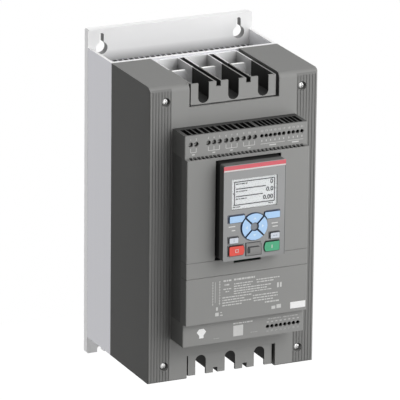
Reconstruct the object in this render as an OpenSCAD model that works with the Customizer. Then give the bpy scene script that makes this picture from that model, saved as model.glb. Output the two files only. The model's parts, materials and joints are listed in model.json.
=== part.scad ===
// Wall-mounted three-phase soft starter with a finned heat sink and a detachable keypad.
// Millimetres. The back of the mounting plate is y = 0, the front faces -Y and +Z is up.

/* [Mounting plate] */
// Width of the mounting plate, the heat sink and the cover
unit_w = 199; // [190:0.5:230]
// Height of the plate above and below the body
flange_h = 20.1; // [18:0.1:30]
// Thickness of the mounting plate
plate_t = 8.8; // [6:0.1:12]
// Corner radius of the mounting plate
plate_corner_r = 2; // [0.5:0.5:5]
// Distance from the plate's side to a keyhole and to a slot in the lower edge
keyhole_inset = 16.5; // [14:0.5:40]
// Diameter of the round part of a keyhole
keyhole_head_d = 14; // [10:0.5:16]
// Width of the narrow part of a keyhole and of the screw that hangs in it
keyhole_slot_w = 5; // [4:0.5:8]
// Distance from the round part's centre to the centre of the narrow end
keyhole_rise = 14.5; // [10:0.5:15]
// Distance from the plate's top edge to the round part's centre
keyhole_drop = 22.2; // [19:0.1:26]
// Width of the open slots in the lower edge
foot_slot_w = 8; // [5:0.5:12]
// Height of the open slots in the lower edge
foot_slot_h = 7; // [6.5:0.5:12]

/* [Heat sink] */
// Height of the heat sink and the cover
body_h = 336.6; // [326:0.2:360]
// Depth from the plate to the front of the heat sink's base wall
sink_depth = 65; // [56:1:80]
// Thickness of the base wall that carries the power parts
sink_base_t = 5; // [4:0.5:9]
// Thickness of the side walls
sink_wall_t = 3.5; // [2:0.5:6]
// Distance from fin to fin
fin_pitch = 6.5; // [5:0.1:10]
// Thickness of a fin
fin_t = 2.3; // [1.5:0.1:3]
// Distance from the top of the body down to the tops of the fins
fin_top_drop = 19; // [10:1:40]

/* [Fans] */
// Thickness of a fan frame
fan_t = 25; // [20:1:32]
// Distance from the heat sink's side to the axis of the nearer fan
fan_inset = 53.5; // [40:0.5:60]
// Number of blades on a rotor
fan_blades = 7; // [5:1:9]
// Thickness of the sheet that holds the fans
holder_t = 2; // [1.5:0.5:3]

/* [Cover] */
// Depth of the cover
cover_depth = 103; // [96:1:125]
// Wall thickness of the cover
cover_wall = 3; // [2:0.5:4]
// Radius of the cover's upper front edge
cover_top_r = 7.5; // [5:0.5:12]
// Radius of the cover's lower front edge
cover_bottom_r = 2; // [1:0.5:4]
// Radius of the cover's upright front edges
cover_side_r = 2; // [1:0.5:3]
// Gap between the cover's notches and the shrouds in them
notch_gap = 2.8; // [1:0.1:5]
// Depth of the notches below the cover's top and above its bottom
notch_drop = 26.5; // [24:0.5:30]
// Number of grooves in each ribbed strip
groove_count = 7; // [5:1:9]
// Distance from groove to groove
groove_pitch = 3.5; // [3:0.1:4]
// Width of a groove
groove_w = 0.9; // [0.8:0.1:2]
// Depth of a groove
groove_depth = 0.6; // [0.5:0.1:1.5]
// Distance from the cover's side to the first groove
groove_edge = 3.2; // [3:0.1:6]
// Distance from the cover's top to the upper ends of the grooves
groove_top_drop = 5.4; // [4:0.1:12]
// Distance from the cover's side to a cover screw
screw_inset_x = 18.7; // [15:0.1:24]
// Distance from the cover's top or bottom to a cover screw
screw_inset_z = 18; // [15:0.1:24]
// Diameter of a cover screw's head
screw_head_d = 8.5; // [7:0.1:10]
// Diameter of a cover screw's thread
screw_d = 4; // [3:0.5:5]

/* [Power terminals] */
// Distance from phase to phase
phase_pitch = 35.4; // [34:0.1:40]
// Inner width of a cable channel
channel_w = 26.4; // [24:0.1:27]
// Wall thickness of a cable channel
channel_wall = 1.9; // [1.2:0.1:2.2]
// Floor thickness of a cable channel
channel_floor = 1.1; // [0.8:0.1:2]
// Width of the U-slots
u_slot_w = 12.5; // [10:0.5:15]
// Height of the small notches between the channels
gap_notch_h = 5.8; // [4:0.2:9]
// Thickness of a shroud's front
shroud_front_t = 2.5; // [2:0.1:4]
// Distance from the cover's front back to the shroud's front
shroud_setback = 3; // [1:0.5:6]
// Distance from the cover's top down to the rim of the channels
channel_drop = 2; // [1:0.1:4]
// Depth of the insulating terminal housings
housing_depth = 40.9; // [40:0.1:46]
// Height of the insulating terminal housings
housing_h = 48.3; // [44:0.1:52]
// Width of a busbar
bar_w = 20; // [16:0.5:22]
// Thickness of a busbar
bar_t = 4; // [3:0.5:5]
// Diameter of the bolt hole in a busbar
bar_hole_d = 8.5; // [6.5:0.5:10]
// Distance from the cover's top or bottom to the end of a busbar
bar_drop = 7.4; // [7:0.1:10]

/* [Power parts] */
// Depth of a thyristor module, from the heat sink to its terminals
module_depth = 28; // [24:0.5:30]
// Height of a thyristor module
module_h = 92; // [84:1:96]
// Depth of a bypass contactor's body
bypass_depth = 42; // [35:1:46]
// Depth of a current transformer
ct_depth = 32; // [26:1:36]
// Height of a current transformer
ct_h = 20; // [14:1:26]

/* [Control unit] */
// Distance of the control unit's middle above the cover's middle
control_rise = 0.45; // [0:0.05:2]
// Depth of the upper terminal zone in front of the cover
zone_depth = 30.9; // [28:0.1:35]
// Height of the upper terminal zone
zone_h = 26; // [24:0.5:32]
// Depth of the front mouldings in front of the cover
panel_depth = 37.5; // [35:0.1:42]
// Depth of the lower strip in front of the cover
strip_depth = 30; // [28:0.1:35]
// Height of the lower strip
strip_h = 26.5; // [24:0.5:32]
// Height of the lower front moulding
lower_front_h = 53; // [45:0.1:60]
// Height of the middle band
band_h = 18.1; // [15:0.1:24]
// Height of the rim above the keypad's opening
panel_rim = 3.4; // [2.5:0.1:6]
// Wall thickness of the control unit's mouldings
control_wall = 2.4; // [2:0.1:3]
// Radius of the upright front edges
control_edge_r = 1.2; // [0.5:0.1:2]
// Gap that shows as a seam between two front mouldings
seam_gap = 0.4; // [0.2:0.1:0.6]
// Distance between the marker slots on the ledge
ledge_slot_pitch = 4.7; // [4:0.1:6]
// Width of a marker slot on the ledge
ledge_slot_w = 3; // [1.5:0.1:3.4]

/* [Control terminals] */
// Distance from terminal to terminal in the relay and supply groups
large_pitch = 6.6; // [6.2:0.1:7.2]
// Diameter of a screw hole in the relay and supply groups
large_hole_d = 5.5; // [4.5:0.1:5.8]
// Distance from terminal to terminal in the signal groups
small_pitch = 5.2; // [5:0.1:6]
// Diameter of a screw hole in the signal groups
small_hole_d = 4.2; // [3.5:0.1:4.4]
// Extra distance between two groups of terminals
group_gap = 1; // [0.6:0.1:2]
// Distance from the end terminals to the sides of the control unit
row_margin = 3.6; // [3:0.1:6]
// Distance from the edge of the control unit to the row of screw holes
hole_row_inset = 10.3; // [9:0.1:12]
// Length of a wire slot from front to back
wire_slot_len = 20; // [14:0.5:21]
// Number of terminals in the lower row
lower_count = 8; // [4:1:10]
// Distance from the control unit's side to the last terminal of the lower row
lower_row_inset = 6.7; // [6:0.1:12]

/* [Keypad] */
// Width of the keypad
keypad_w = 73.4; // [70:0.2:82]
// Height of the keypad
keypad_h = 107.6; // [106:0.2:116]
// Corner radius of the keypad
keypad_corner_r = 2; // [1:0.5:4]
// Distance that the keypad stands proud of the front mouldings
keypad_proud = 16.4; // [12:0.2:20]
// Distance that the keypad sinks into its recess
keypad_sunk = 8; // [6:0.5:9]
// Gap between the keypad and the opening around it
keypad_gap = 2; // [1:0.1:3]
// Gap below the keypad
keypad_foot_gap = 3; // [2:0.1:5]
// Thickness of the keypad's face
face_t = 2.5; // [2.2:0.1:3.5]
// Wall thickness of the keypad's shell
shell_t = 2; // [1.5:0.1:2.5]
// Height of the coloured strip
accent_h = 6.2; // [4:0.1:8]
// Width of the display window
window_w = 53.5; // [46:0.5:58]
// Height of the display window
window_h = 33.8; // [28:0.2:36]

/* [Keys] */
// Distance that the keys stand proud of the keypad's face
key_proud = 1.5; // [1:0.1:2.5]
// Clearance between a key and its hole
key_gap = 0.3; // [0.2:0.05:0.4]
// Outer radius of the four arrow keys
nav_r = 15.1; // [14:0.1:16]
// Radius of the plain centre between the arrow keys
nav_hub_r = 4.8; // [3.5:0.1:6]
// Gap between two arrow keys
nav_split = 1.8; // [1.6:0.1:2.4]
// Height of the arrow keys' centre above the keypad's lower edge
nav_up = 35.8; // [35:0.1:38]
// Half of the width over the outer keys
key_reach = 29.8; // [29:0.1:31]

/* [Hidden] */
$fn = 48;

// Colours
plate_white = [0.93, 0.93, 0.94];
sink_grey = [0.73, 0.73, 0.75];
cover_grey = [0.44, 0.44, 0.43];
shroud_grey = [0.46, 0.46, 0.45];
housing_grey = [0.81, 0.81, 0.82];
panel_grey = [0.47, 0.47, 0.46];
keypad_black = [0.14, 0.14, 0.14];
face_grey = [0.6, 0.61, 0.61];
tin_grey = [0.86, 0.86, 0.85];
board_green = [0.1, 0.32, 0.2];
key_blue = [0.73, 0.86, 0.98];
key_grey = [0.8, 0.83, 0.87];

// Overlap of a cut past the face that it opens
cut = 1;
// Overlap of pieces that are joined into one solid
merge = 0.5;

// Planes from the wall to the front
half_w = unit_w / 2;
top_z = body_h / 2;
plate_h = body_h + 2 * flange_h;
y_plate = -plate_t;
y_sink = y_plate - sink_depth;
y_base = y_sink + sink_base_t;
y_cover = y_sink - cover_depth;
channel_depth = sink_depth - sink_base_t;

// Fans and fins
fan_fit = 0.2;
fan_size = channel_depth - 2 * fan_fit;
fan_x = half_w - fan_inset;
fan_y = (y_plate + y_base) / 2;
fan_z = -top_z + holder_t;
fan_rim = 1.6;
fan_bore_r = fan_size / 2 - fan_rim;
fan_hub_r = 14;
fan_hub_t = 3;
fan_strut_w = 3;
fan_screw_r = 2.1;
fan_screw_inset = 5;
fan_shaft_r = 1.5;
fan_shaft_fit = 0.06;
fan_run_gap = 0.6;
blade_t = 1.2;
blade_tilt = 35;
blade_chord = 15;
blade_tip_gap = 1.4;
fin_fan_gap = 3;
fin_bottom_z = fan_z + fan_t + fin_fan_gap;
fin_top_z = top_z - fin_top_drop;
fin_count = floor((unit_w - 2 * sink_wall_t - fin_t) / fin_pitch);

// Power terminals
phases = [1, 2, 3];
tray_w = channel_w + 2 * channel_wall;
tray_gap = phase_pitch - tray_w;
shroud_w = 2 * phase_pitch + tray_w;
notch_w = shroud_w + 2 * notch_gap;
notch_z = top_z - notch_drop;
notch_liner_t = 2;
shroud_seat_gap = 1;
tray_floor_z = notch_z + shroud_seat_gap;
channel_top_z = top_z - channel_drop;
u_slot_z = tray_floor_z + channel_floor + u_slot_w / 2;
y_shroud = y_cover + shroud_setback;
y_housing = y_sink - housing_depth;
housing_rear_t = 3;
housing_floor_t = 2.5;
housing_front_t = 2;
housing_z = channel_top_z - housing_h;
tray_fit = 0.3;
bar_fit = 0.3;
bar_top_z = top_z - bar_drop;
y_bar = y_sink - module_depth;
y_bar_front = y_bar - bar_t;

// Power parts
module_gap = 2.4;
module_w = phase_pitch - module_gap;
module_z = 36;
module_corner_r = 2;
module_waist = 0.5;
module_plate_t = 3;
module_shoulder = 9;
pad_proud = 0.6;
pad_w = 18;
pad_h = 18;
pad_inset = 2;
pad_z = module_h / 2 - module_shoulder - pad_h / 2 - pad_inset;
bypass_lift = 7;
bypass_foot_h = 12;
bypass_foot_clear = 4;
bypass_top_z = module_z + module_h / 2 + bypass_foot_clear + bypass_foot_h;
bypass_bottom_z = module_z - module_h / 2 - bypass_foot_clear - bypass_foot_h;
y_bypass_front = y_bar_front - bypass_lift - bypass_depth;
ct_drop = 40;
ct_z = bypass_bottom_z - ct_drop;
ct_corner_r = 3;
board_t = 1.6;
board_corner_r = 2;
power_board_side = 20;
power_board_over = 10;
power_board_w = 2 * (phase_pitch + power_board_side) + module_w;

// Cover, its screws and pillars
cover_inner_r = 0.6;
screw_x = half_w - screw_inset_x;
screw_z = top_z - screw_inset_z;
screw_fit = 0.7;
head_recess_d = screw_head_d + 2 * screw_fit;
head_recess_depth = 5;
head_t = 3.2;
boss_wall = 2;
boss_depth = 7;
y_head_seat = y_cover + head_recess_depth;
y_boss_back = y_cover + cover_wall + boss_depth;
pillar_r = 5.8;
thread_fit = 0.1;
thread_len = 15;
thread_room = 2;

// Control unit, stacked from the bottom
terminal_fill = 0.92;
large_counts = [2, 3, 3, 3];
large_skip = 1;
small_counts = [6, 4];
large_places = sum_before(large_counts, len(large_counts)) + large_skip;
small_places = sum_before(small_counts, len(small_counts));
large_row_w = large_places * large_pitch + (len(large_counts) - 1) * group_gap;
small_row_w = small_places * small_pitch + (len(small_counts) - 1) * group_gap;
row_gap = 2.6;
control_w = large_row_w + row_gap + small_row_w + 2 * row_margin;
panel_h = keypad_foot_gap + keypad_h + keypad_gap + panel_rim;
control_h = strip_h + lower_front_h + band_h + panel_h + zone_h;
strip_z = control_rise - control_h / 2;
lower_z = strip_z + strip_h;
band_z = lower_z + lower_front_h;
panel_z = band_z + band_h;
zone_z = panel_z + panel_h;
control_top_z = zone_z + zone_h;
y_zone = y_cover - zone_depth;
y_panel = y_cover - panel_depth;
y_strip = y_cover - strip_depth;
front_skirt = 14.3;
y_split = y_panel + front_skirt;
standoff_r = 3;
standoff_len = 7;
standoff_inset = control_wall + 10;
control_board_inset = 5;
latch_slot_w = 32;
latch_slot_h = 4;
latch_slot_drop = 2.6;
ledge_slot_count = floor((control_w - 2 * control_wall) / ledge_slot_pitch);
ledge_slot_lip = 0.8;
ledge_slot_seat = 0.2;
ledge_notch_h = 1.2;
ledge_notch_depth = 1.6;

// Control terminals
large_first_x = -control_w / 2 + row_margin + large_pitch / 2;
small_first_x = -control_w / 2 + row_margin + large_row_w + row_gap + small_pitch / 2;
lower_first_x = control_w / 2 - lower_row_inset - (lower_count - 1) * small_pitch;
wire_slot_share = 0.76;
wire_slot_front = 2.6;
wire_mouth_depth = 6;
wire_depth = 14;
large_head_sink = 3.4;
small_head_sink = 9;
clamp_head_t = 2.4;
clamp_head_fit = 0.35;
clamp_thread_r = 1.2;
clamp_thread_fit = 0.1;
clamp_thread_len = 7;
clamp_slot_w = 0.7;
block_len = 22;

// Keypad
keypad_z = panel_z + keypad_foot_gap;
keypad_top_z = keypad_z + keypad_h;
y_face = y_panel - keypad_proud;
y_face_back = y_face + face_t;
y_keypad_back = y_panel + keypad_sunk;
opening_w = keypad_w + 2 * keypad_gap;
opening_top_z = keypad_top_z + keypad_gap;
cradle_wall = 1.5;
cradle_floor = 2;
cradle_fit = 0.3;
y_cradle = y_keypad_back + cradle_fit;
plug_w = 13;
plug_h = 11;
plug_len = 6;
plug_fit = 0.5;
plug_up = 62;
accent_t = 0.8;
accent_drop = 0.6;
window_up = 74.1;
window_fit = 0.15;
window_t = 1.8;
display_margin = 3.5;
display_depth = 8;
y_keypad_board = y_face_back + display_depth;
keypad_board_inset = 3.4;
post_r = 2.6;
post_inset = 7;
mat_t = 1;
mat_inset = keypad_board_inset + 1;
mat_display_gap = 1;
dome_r = 2.4;
dome_room = 1.4;

// Keys
key_moat = 0.8;
key_moat_depth = 1;
key_flange_w = 0.6;
key_flange_t = 1;
key_flange_fit = 0.1;
key_tail = 2.2;
y_key = y_face - key_proud;
y_key_back = y_face_back + key_tail;
nav_z = keypad_z + nav_up;
soft_rim = 1.4;
soft_up = 46.8;
soft_w = 17.8;
soft_h = 7.4;
small_key_up = 23;
small_key_w = 10.7;
small_key_h = 6.3;
run_key_up = 11.1;
run_key_w = 17.9;
run_key_h = 10.6;
run_key_end_r = 9.6;
key_corner_r = 0.9;

// Lid over the service socket
flap_w = 17.4;
flap_h = 13.9;
flap_up = 3.3;
flap_gap = 0.3;
flap_sink = 0.2;
flap_r = 0.7;
flap_corner_r = 3;
flap_pocket_depth = 1.8;
flap_grip_w = 14.2;
flap_grip_h = 6.2;
flap_grip_up = 3;
flap_grip_t = 1.2;
usb_w = 10;
usb_h = 5;
usb_up = 10.5;
usb_back_gap = 0.4;
usb_wall_t = 1.2;
usb_floor_t = 2;
flap_z = keypad_z + flap_up;
y_flap_axis = y_face + flap_sink + flap_r;

// Drawing on the front, x by z, pushed forwards from a plane
module slab(y_back, depth) {
    translate([0, y_back, 0]) rotate([90, 0, 0]) linear_extrude(depth) children();
}

// Drawing in plan, x by y, raised from a level
module column(z_bottom, height) {
    translate([0, 0, z_bottom]) linear_extrude(height) children();
}

// Drawing in side view, y by z, drawn out along x
module lengthwise(x_left, length) {
    translate([x_left, 0, 0]) rotate([90, 0, 90]) linear_extrude(length) children();
}

module span(x0, x1, z0, z1) {
    translate([x0, z0]) square([x1 - x0, z1 - z0]);
}

module centred(w, h) {
    span(-w / 2, w / 2, -h / 2, h / 2);
}

module round_span(x0, x1, z0, z1, r) {
    span(x0 + r, x1 - r, z0, z1);
    span(x0, x1, z0 + r, z1 - r);
    for (x = [x0 + r, x1 - r])
        for (z = [z0 + r, z1 - r])
            translate([x, z]) circle(r);
}

// Plan of a moulding with two rounded front edges
module moulding_plan(w, y_back, y_front, r) {
    span(-w / 2, w / 2, y_front + r, y_back);
    span(-w / 2 + r, w / 2 - r, y_front, y_back);
    for (side = [-1, 1])
        translate([side * (w / 2 - r), y_front + r]) circle(r);
}

module both_sides() {
    children();
    mirror([1, 0, 0]) children();
}

module top_and_bottom() {
    children();
    mirror([0, 0, 1]) children();
}

function phase_x(i) = (i - 2) * phase_pitch;

// Mounting plate and heat sink

module keyhole() {
    circle(keyhole_head_d / 2);
    span(-keyhole_slot_w / 2, keyhole_slot_w / 2, 0, keyhole_rise);
    translate([0, keyhole_rise]) circle(keyhole_slot_w / 2);
}

module foot_slot() {
    span(-foot_slot_w / 2, foot_slot_w / 2, -cut, foot_slot_h - foot_slot_w / 2);
    translate([0, foot_slot_h - foot_slot_w / 2]) circle(foot_slot_w / 2);
}

module back_plate() {
    color(plate_white)
    slab(0, plate_t)
    difference() {
        round_span(-half_w, half_w, -plate_h / 2, plate_h / 2, plate_corner_r);
        for (side = [-1, 1])
            translate([side * (half_w - keyhole_inset), 0]) {
                translate([0, plate_h / 2 - keyhole_drop]) keyhole();
                translate([0, -plate_h / 2]) foot_slot();
            }
    }
}

module heatsink() {
    color(sink_grey)
    union() {
        column(-top_z, body_h) {
            span(-half_w, half_w, y_sink, y_base);
            both_sides() span(half_w - sink_wall_t, half_w, y_base - merge, y_plate);
        }
        column(fin_bottom_z, fin_top_z - fin_bottom_z)
            for (i = [0 : fin_count - 1])
                translate([(i - (fin_count - 1) / 2) * fin_pitch, 0])
                    span(-fin_t / 2, fin_t / 2, y_base - merge, y_plate);
    }
}

// Fans

module fan_corner_holes() {
    for (x = [-1, 1])
        for (y = [-1, 1])
            translate([x, y] * (fan_size / 2 - fan_screw_inset)) circle(fan_screw_r);
}

module fan_holder() {
    color(sink_grey)
    column(-top_z, holder_t)
    difference() {
        span(-half_w + sink_wall_t + fan_fit, half_w - sink_wall_t - fan_fit,
            y_base + fan_fit, y_plate - fan_fit);
        for (side = [-1, 1])
            translate([side * fan_x, fan_y]) {
                circle(fan_bore_r);
                fan_corner_holes();
            }
    }
}

module fan_frame(side) {
    color(keypad_black)
    translate([side * fan_x, fan_y, 0]) {
        column(fan_z, fan_t)
        difference() {
            round_span(-fan_size / 2, fan_size / 2, -fan_size / 2, fan_size / 2, fan_screw_inset);
            circle(fan_bore_r);
            fan_corner_holes();
        }
        column(fan_z, fan_hub_t)
        difference() {
            union() {
                circle(fan_hub_r);
                for (turn = [0, 60, 120])
                    rotate(turn) centred(2 * fan_bore_r + fan_rim, fan_strut_w);
            }
            circle(fan_shaft_r + fan_shaft_fit);
        }
    }
}

module fan_rotor(side) {
    rotor_z = fan_z + fan_hub_t + fan_run_gap;
    rotor_h = fan_t - fan_hub_t - 2 * fan_run_gap;
    color(keypad_black)
    translate([side * fan_x, fan_y, 0]) {
        column(fan_z + fan_run_gap, fan_hub_t + merge) circle(fan_shaft_r);
        column(rotor_z, rotor_h) circle(fan_hub_r);
        intersection() {
            column(rotor_z, rotor_h) circle(fan_bore_r - blade_tip_gap);
            for (i = [0 : fan_blades - 1])
                rotate([0, 0, i * 360 / fan_blades])
                    translate([fan_hub_r - merge, 0, rotor_z + rotor_h / 2])
                        rotate([blade_tilt, 0, 0])
                            translate([0, -blade_chord / 2, -blade_t / 2])
                                cube([fan_bore_r, blade_chord, blade_t]);
        }
    }
}

// Power parts behind the cover

module thyristor_module(i) {
    color(keypad_black)
    translate([phase_x(i), 0, module_z]) {
        slab(y_sink, module_plate_t)
            round_span(-module_w / 2, module_w / 2, -module_h / 2, module_h / 2, module_corner_r);
        slab(y_sink - module_plate_t + merge, module_depth - module_plate_t - pad_proud + merge)
            centred(module_w - 2 * module_waist, module_h - 2 * module_shoulder);
        for (side = [-1, 1])
            translate([0, 0, side * pad_z])
                slab(y_bar + pad_proud + merge, pad_proud + merge) centred(pad_w, pad_h);
    }
}

// A bar from its outer end, where a cable lug is bolted on, to a module's terminal
module busbar(i, outer_z, inner_z) {
    hole_z = sign(outer_z) * u_slot_z;
    color(tin_grey)
    slab(y_bar, bar_t)
    translate([phase_x(i), 0])
    difference() {
        span(-bar_w / 2, bar_w / 2, min(outer_z, inner_z), max(outer_z, inner_z));
        translate([0, hole_z]) circle(bar_hole_d / 2);
    }
}

module line_busbar(i) {
    busbar(i, bar_top_z, module_z + pad_z - pad_h / 2);
}

module load_busbar(i) {
    busbar(i, -bar_top_z, module_z - pad_z + pad_h / 2);
}

module bypass_contactor(i) {
    color(face_grey)
    translate([phase_x(i), 0, 0]) {
        slab(y_bar_front - bypass_lift, bypass_depth)
            span(-module_w / 2, module_w / 2, bypass_bottom_z, bypass_top_z);
        for (foot_z = [bypass_bottom_z, bypass_top_z - bypass_foot_h])
            slab(y_bar_front, bypass_lift + merge)
                span(-bar_w / 2, bar_w / 2, foot_z, foot_z + bypass_foot_h);
    }
}

module current_transformer(i) {
    color(keypad_black)
    translate([phase_x(i), y_bar - bar_t / 2, 0])
    column(ct_z - ct_h / 2, ct_h)
    difference() {
        round_span(-module_w / 2, module_w / 2, -ct_depth / 2, ct_depth / 2, ct_corner_r);
        centred(bar_w + 2 * bar_fit, bar_t + 2 * bar_fit);
    }
}

module power_board() {
    color(board_green)
    slab(y_bypass_front, board_t)
        round_span(-power_board_w / 2, power_board_w / 2,
            bypass_bottom_z - power_board_over, bypass_top_z + power_board_over, board_corner_r);
}

// Terminal housings and shrouds. Both are drawn for the upper side.

module tray_walls() {
    for (i = phases)
        for (side = [-1, 1])
            translate([phase_x(i) + side * (channel_w + channel_wall) / 2, 0])
                children();
}

module terminal_housing() {
    color(housing_grey)
    difference() {
        union() {
            slab(y_sink, housing_rear_t)
                span(-shroud_w / 2, shroud_w / 2, housing_z, channel_top_z);
            slab(y_sink, housing_depth)
                tray_walls() span(-channel_wall / 2, channel_wall / 2, housing_z, channel_top_z);
            slab(y_sink, housing_depth)
                span(-shroud_w / 2, shroud_w / 2, housing_z, housing_z + housing_floor_t);
            slab(y_housing + housing_front_t, housing_front_t)
                span(-shroud_w / 2, shroud_w / 2, housing_z, tray_floor_z - tray_fit);
        }
        for (i = phases)
            translate([phase_x(i), y_bar - bar_t / 2, 0])
                column(housing_z - cut, housing_floor_t + 2 * cut)
                    centred(bar_w + 2 * bar_fit, bar_t + 2 * bar_fit);
    }
}

module u_slot() {
    translate([0, u_slot_z]) circle(u_slot_w / 2);
    span(-u_slot_w / 2, u_slot_w / 2, u_slot_z, channel_top_z + cut);
}

module terminal_shroud() {
    color(shroud_grey)
    union() {
        slab(y_shroud + shroud_front_t, shroud_front_t)
        difference() {
            span(-shroud_w / 2, shroud_w / 2, tray_floor_z, channel_top_z);
            for (i = phases)
                translate([phase_x(i), 0]) u_slot();
            both_sides()
                translate([phase_pitch / 2, 0])
                    span(-tray_gap / 2, tray_gap / 2, channel_top_z - gap_notch_h,
                        channel_top_z + cut);
        }
        slab(y_housing - tray_fit, y_housing - tray_fit - y_shroud - shroud_front_t + merge) {
            tray_walls() span(-channel_wall / 2, channel_wall / 2, tray_floor_z, channel_top_z);
            for (i = phases)
                translate([phase_x(i), 0])
                    span(-tray_w / 2, tray_w / 2, tray_floor_z, tray_floor_z + channel_floor);
        }
    }
}

// Cover with its screws

module cover_side_view(inset, top_r, bottom_r) {
    y_front = y_cover + inset;
    z_end = top_z - inset;
    difference() {
        span(y_front, y_sink, -z_end, z_end);
        span(y_front - cut, y_front + top_r, z_end - top_r, z_end + cut);
        span(y_front - cut, y_front + bottom_r, -z_end - cut, -z_end + bottom_r);
    }
    translate([y_front + top_r, z_end - top_r]) circle(top_r);
    translate([y_front + bottom_r, -z_end + bottom_r]) circle(bottom_r);
}

module cover_corners() {
    for (x = [-screw_x, screw_x])
        for (z = [-screw_z, screw_z])
            translate([x, 0, z]) children();
}

module notch_liners() {
    both_sides()
        slab(y_sink, cover_depth - cover_wall + merge)
            span(notch_w / 2, notch_w / 2 + notch_liner_t, notch_z - cover_wall, top_z - merge);
}

module groove_strip() {
    for (i = [0 : groove_count - 1])
        translate([half_w - groove_edge - i * groove_pitch, 0])
            span(-groove_w / 2, groove_w / 2, -top_z - cut, top_z - groove_top_drop);
}

module front_cover() {
    color(cover_grey)
    difference() {
        union() {
            difference() {
                intersection() {
                    lengthwise(-half_w, unit_w) cover_side_view(0, cover_top_r, cover_bottom_r);
                    column(-top_z, body_h) moulding_plan(unit_w, y_sink, y_cover, cover_side_r);
                }
                lengthwise(-half_w + cover_wall, unit_w - 2 * cover_wall) {
                    cover_side_view(cover_wall, cover_top_r - cover_wall, cover_inner_r);
                    span(y_sink - cut, y_sink + cut, -top_z + cover_wall, top_z - cover_wall);
                }
            }
            cover_corners()
                slab(y_boss_back, boss_depth + merge) circle(head_recess_d / 2 + boss_wall);
            top_and_bottom() notch_liners();
        }
        top_and_bottom()
            slab(y_sink + cut, cover_depth + 2 * cut)
                span(-notch_w / 2, notch_w / 2, notch_z, top_z + cut);
        cover_corners() {
            slab(y_head_seat, head_recess_depth + cut) circle(head_recess_d / 2);
            slab(y_boss_back + cut, cover_wall + boss_depth + cut) circle(screw_d / 2 + screw_fit);
        }
        slab(y_cover + groove_depth, groove_depth + cut) both_sides() groove_strip();
    }
}

module cover_pillars() {
    color(tin_grey)
    cover_corners()
    difference() {
        slab(y_sink, y_sink - y_boss_back) circle(pillar_r, $fn = 6);
        slab(y_boss_back + thread_len + thread_room, thread_len + thread_room + cut)
            circle(screw_d / 2 + thread_fit);
    }
}

module cover_screws() {
    head_edge = 0.8;
    cross_w = 1.3;
    cross_span = 0.55 * screw_head_d;
    cross_depth = 1.8;
    color(tin_grey)
    cover_corners()
    difference() {
        union() {
            slab(y_head_seat, head_t - head_edge) circle(screw_head_d / 2);
            slab(y_head_seat, head_t) circle(screw_head_d / 2 - head_edge);
            slab(y_boss_back + thread_len, y_boss_back + thread_len - y_head_seat + merge)
                circle(screw_d / 2);
        }
        slab(y_head_seat - head_t + cross_depth, cross_depth + cut) {
            centred(cross_w, cross_span);
            centred(cross_span, cross_w);
        }
    }
}

// Control unit

module control_base() {
    color(panel_grey)
    union() {
        difference() {
            slab(y_cover, y_cover - y_split) span(-control_w / 2, control_w / 2, lower_z, zone_z);
            slab(y_cover - control_wall, y_cover - y_split)
                span(-control_w / 2 + control_wall, control_w / 2 - control_wall,
                    lower_z + control_wall, zone_z - control_wall);
        }
        both_sides()
            for (z = [lower_z + standoff_inset, zone_z - standoff_inset])
                translate([control_w / 2 - standoff_inset, 0, z])
                    slab(y_cover - control_wall + merge, standoff_len + merge) circle(standoff_r);
    }
}

module control_board() {
    edge = control_wall + control_board_inset;
    color(board_green)
    slab(y_cover - control_wall - standoff_len, board_t)
        round_span(-control_w / 2 + edge, control_w / 2 - edge, lower_z + edge, zone_z - edge,
            board_corner_r);
}

// Open-backed cap between two levels, with or without a skirt at its upper and lower edges
module front_cap(z0, z1, skirt_below, skirt_above) {
    difference() {
        column(z0, z1 - z0) moulding_plan(control_w, y_split, y_panel, control_edge_r);
        slab(y_split + cut, front_skirt - control_wall + cut)
            span(-control_w / 2 + control_wall, control_w / 2 - control_wall,
                z0 + (skirt_below ? control_wall : -cut), z1 - (skirt_above ? control_wall : -cut));
    }
}

module ledge_row(y_front, y_back) {
    for (i = [0 : ledge_slot_count - 1])
        translate([(i - (ledge_slot_count - 1) / 2) * ledge_slot_pitch, 0])
            span(-ledge_slot_w / 2, ledge_slot_w / 2, y_front, y_back);
}

module keypad_panel() {
    color(panel_grey)
    difference() {
        front_cap(panel_z, zone_z, false, true);
        slab(y_split, front_skirt + cut)
            span(-opening_w / 2, opening_w / 2, panel_z - cut, opening_top_z);
        column(zone_z - control_wall - cut, control_wall + 2 * cut)
            ledge_row(y_panel + ledge_slot_lip, y_zone - ledge_slot_seat);
    }
}

module middle_band() {
    slot_z = panel_z - seam_gap - latch_slot_drop;
    color(panel_grey)
    difference() {
        front_cap(band_z, panel_z - seam_gap, false, false);
        slab(y_split, front_skirt + cut)
            span(-latch_slot_w / 2, latch_slot_w / 2, slot_z - latch_slot_h, slot_z);
    }
}

module lower_front() {
    color(panel_grey) front_cap(lower_z, band_z - seam_gap, true, false);
}

// Tray behind the keypad's opening, closed above by the panel's own skirt
module keypad_cradle() {
    bottom_z = panel_z - seam_gap;
    top_edge_z = zone_z - control_wall - cradle_fit;
    rear_h = y_cradle - y_panel - control_wall;
    color(keypad_black)
    difference() {
        slab(y_cradle + cradle_floor, rear_h + cradle_floor)
            span(-opening_w / 2 - cradle_wall, opening_w / 2 + cradle_wall,
                bottom_z - cradle_wall, top_edge_z);
        slab(y_cradle, rear_h + cut)
            span(-opening_w / 2, opening_w / 2, bottom_z, top_edge_z + cut);
        translate([0, 0, keypad_z + plug_up])
            slab(y_cradle + cradle_floor + cut, cradle_floor + 2 * cut)
                centred(plug_w + 2 * plug_fit, plug_h + 2 * plug_fit);
    }
}

// Control terminals. A terminal is its x, its pitch, the diameter of its screw hole and how
// deep the screw's seat lies in the block. A spare place is its x and its pitch alone.

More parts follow.
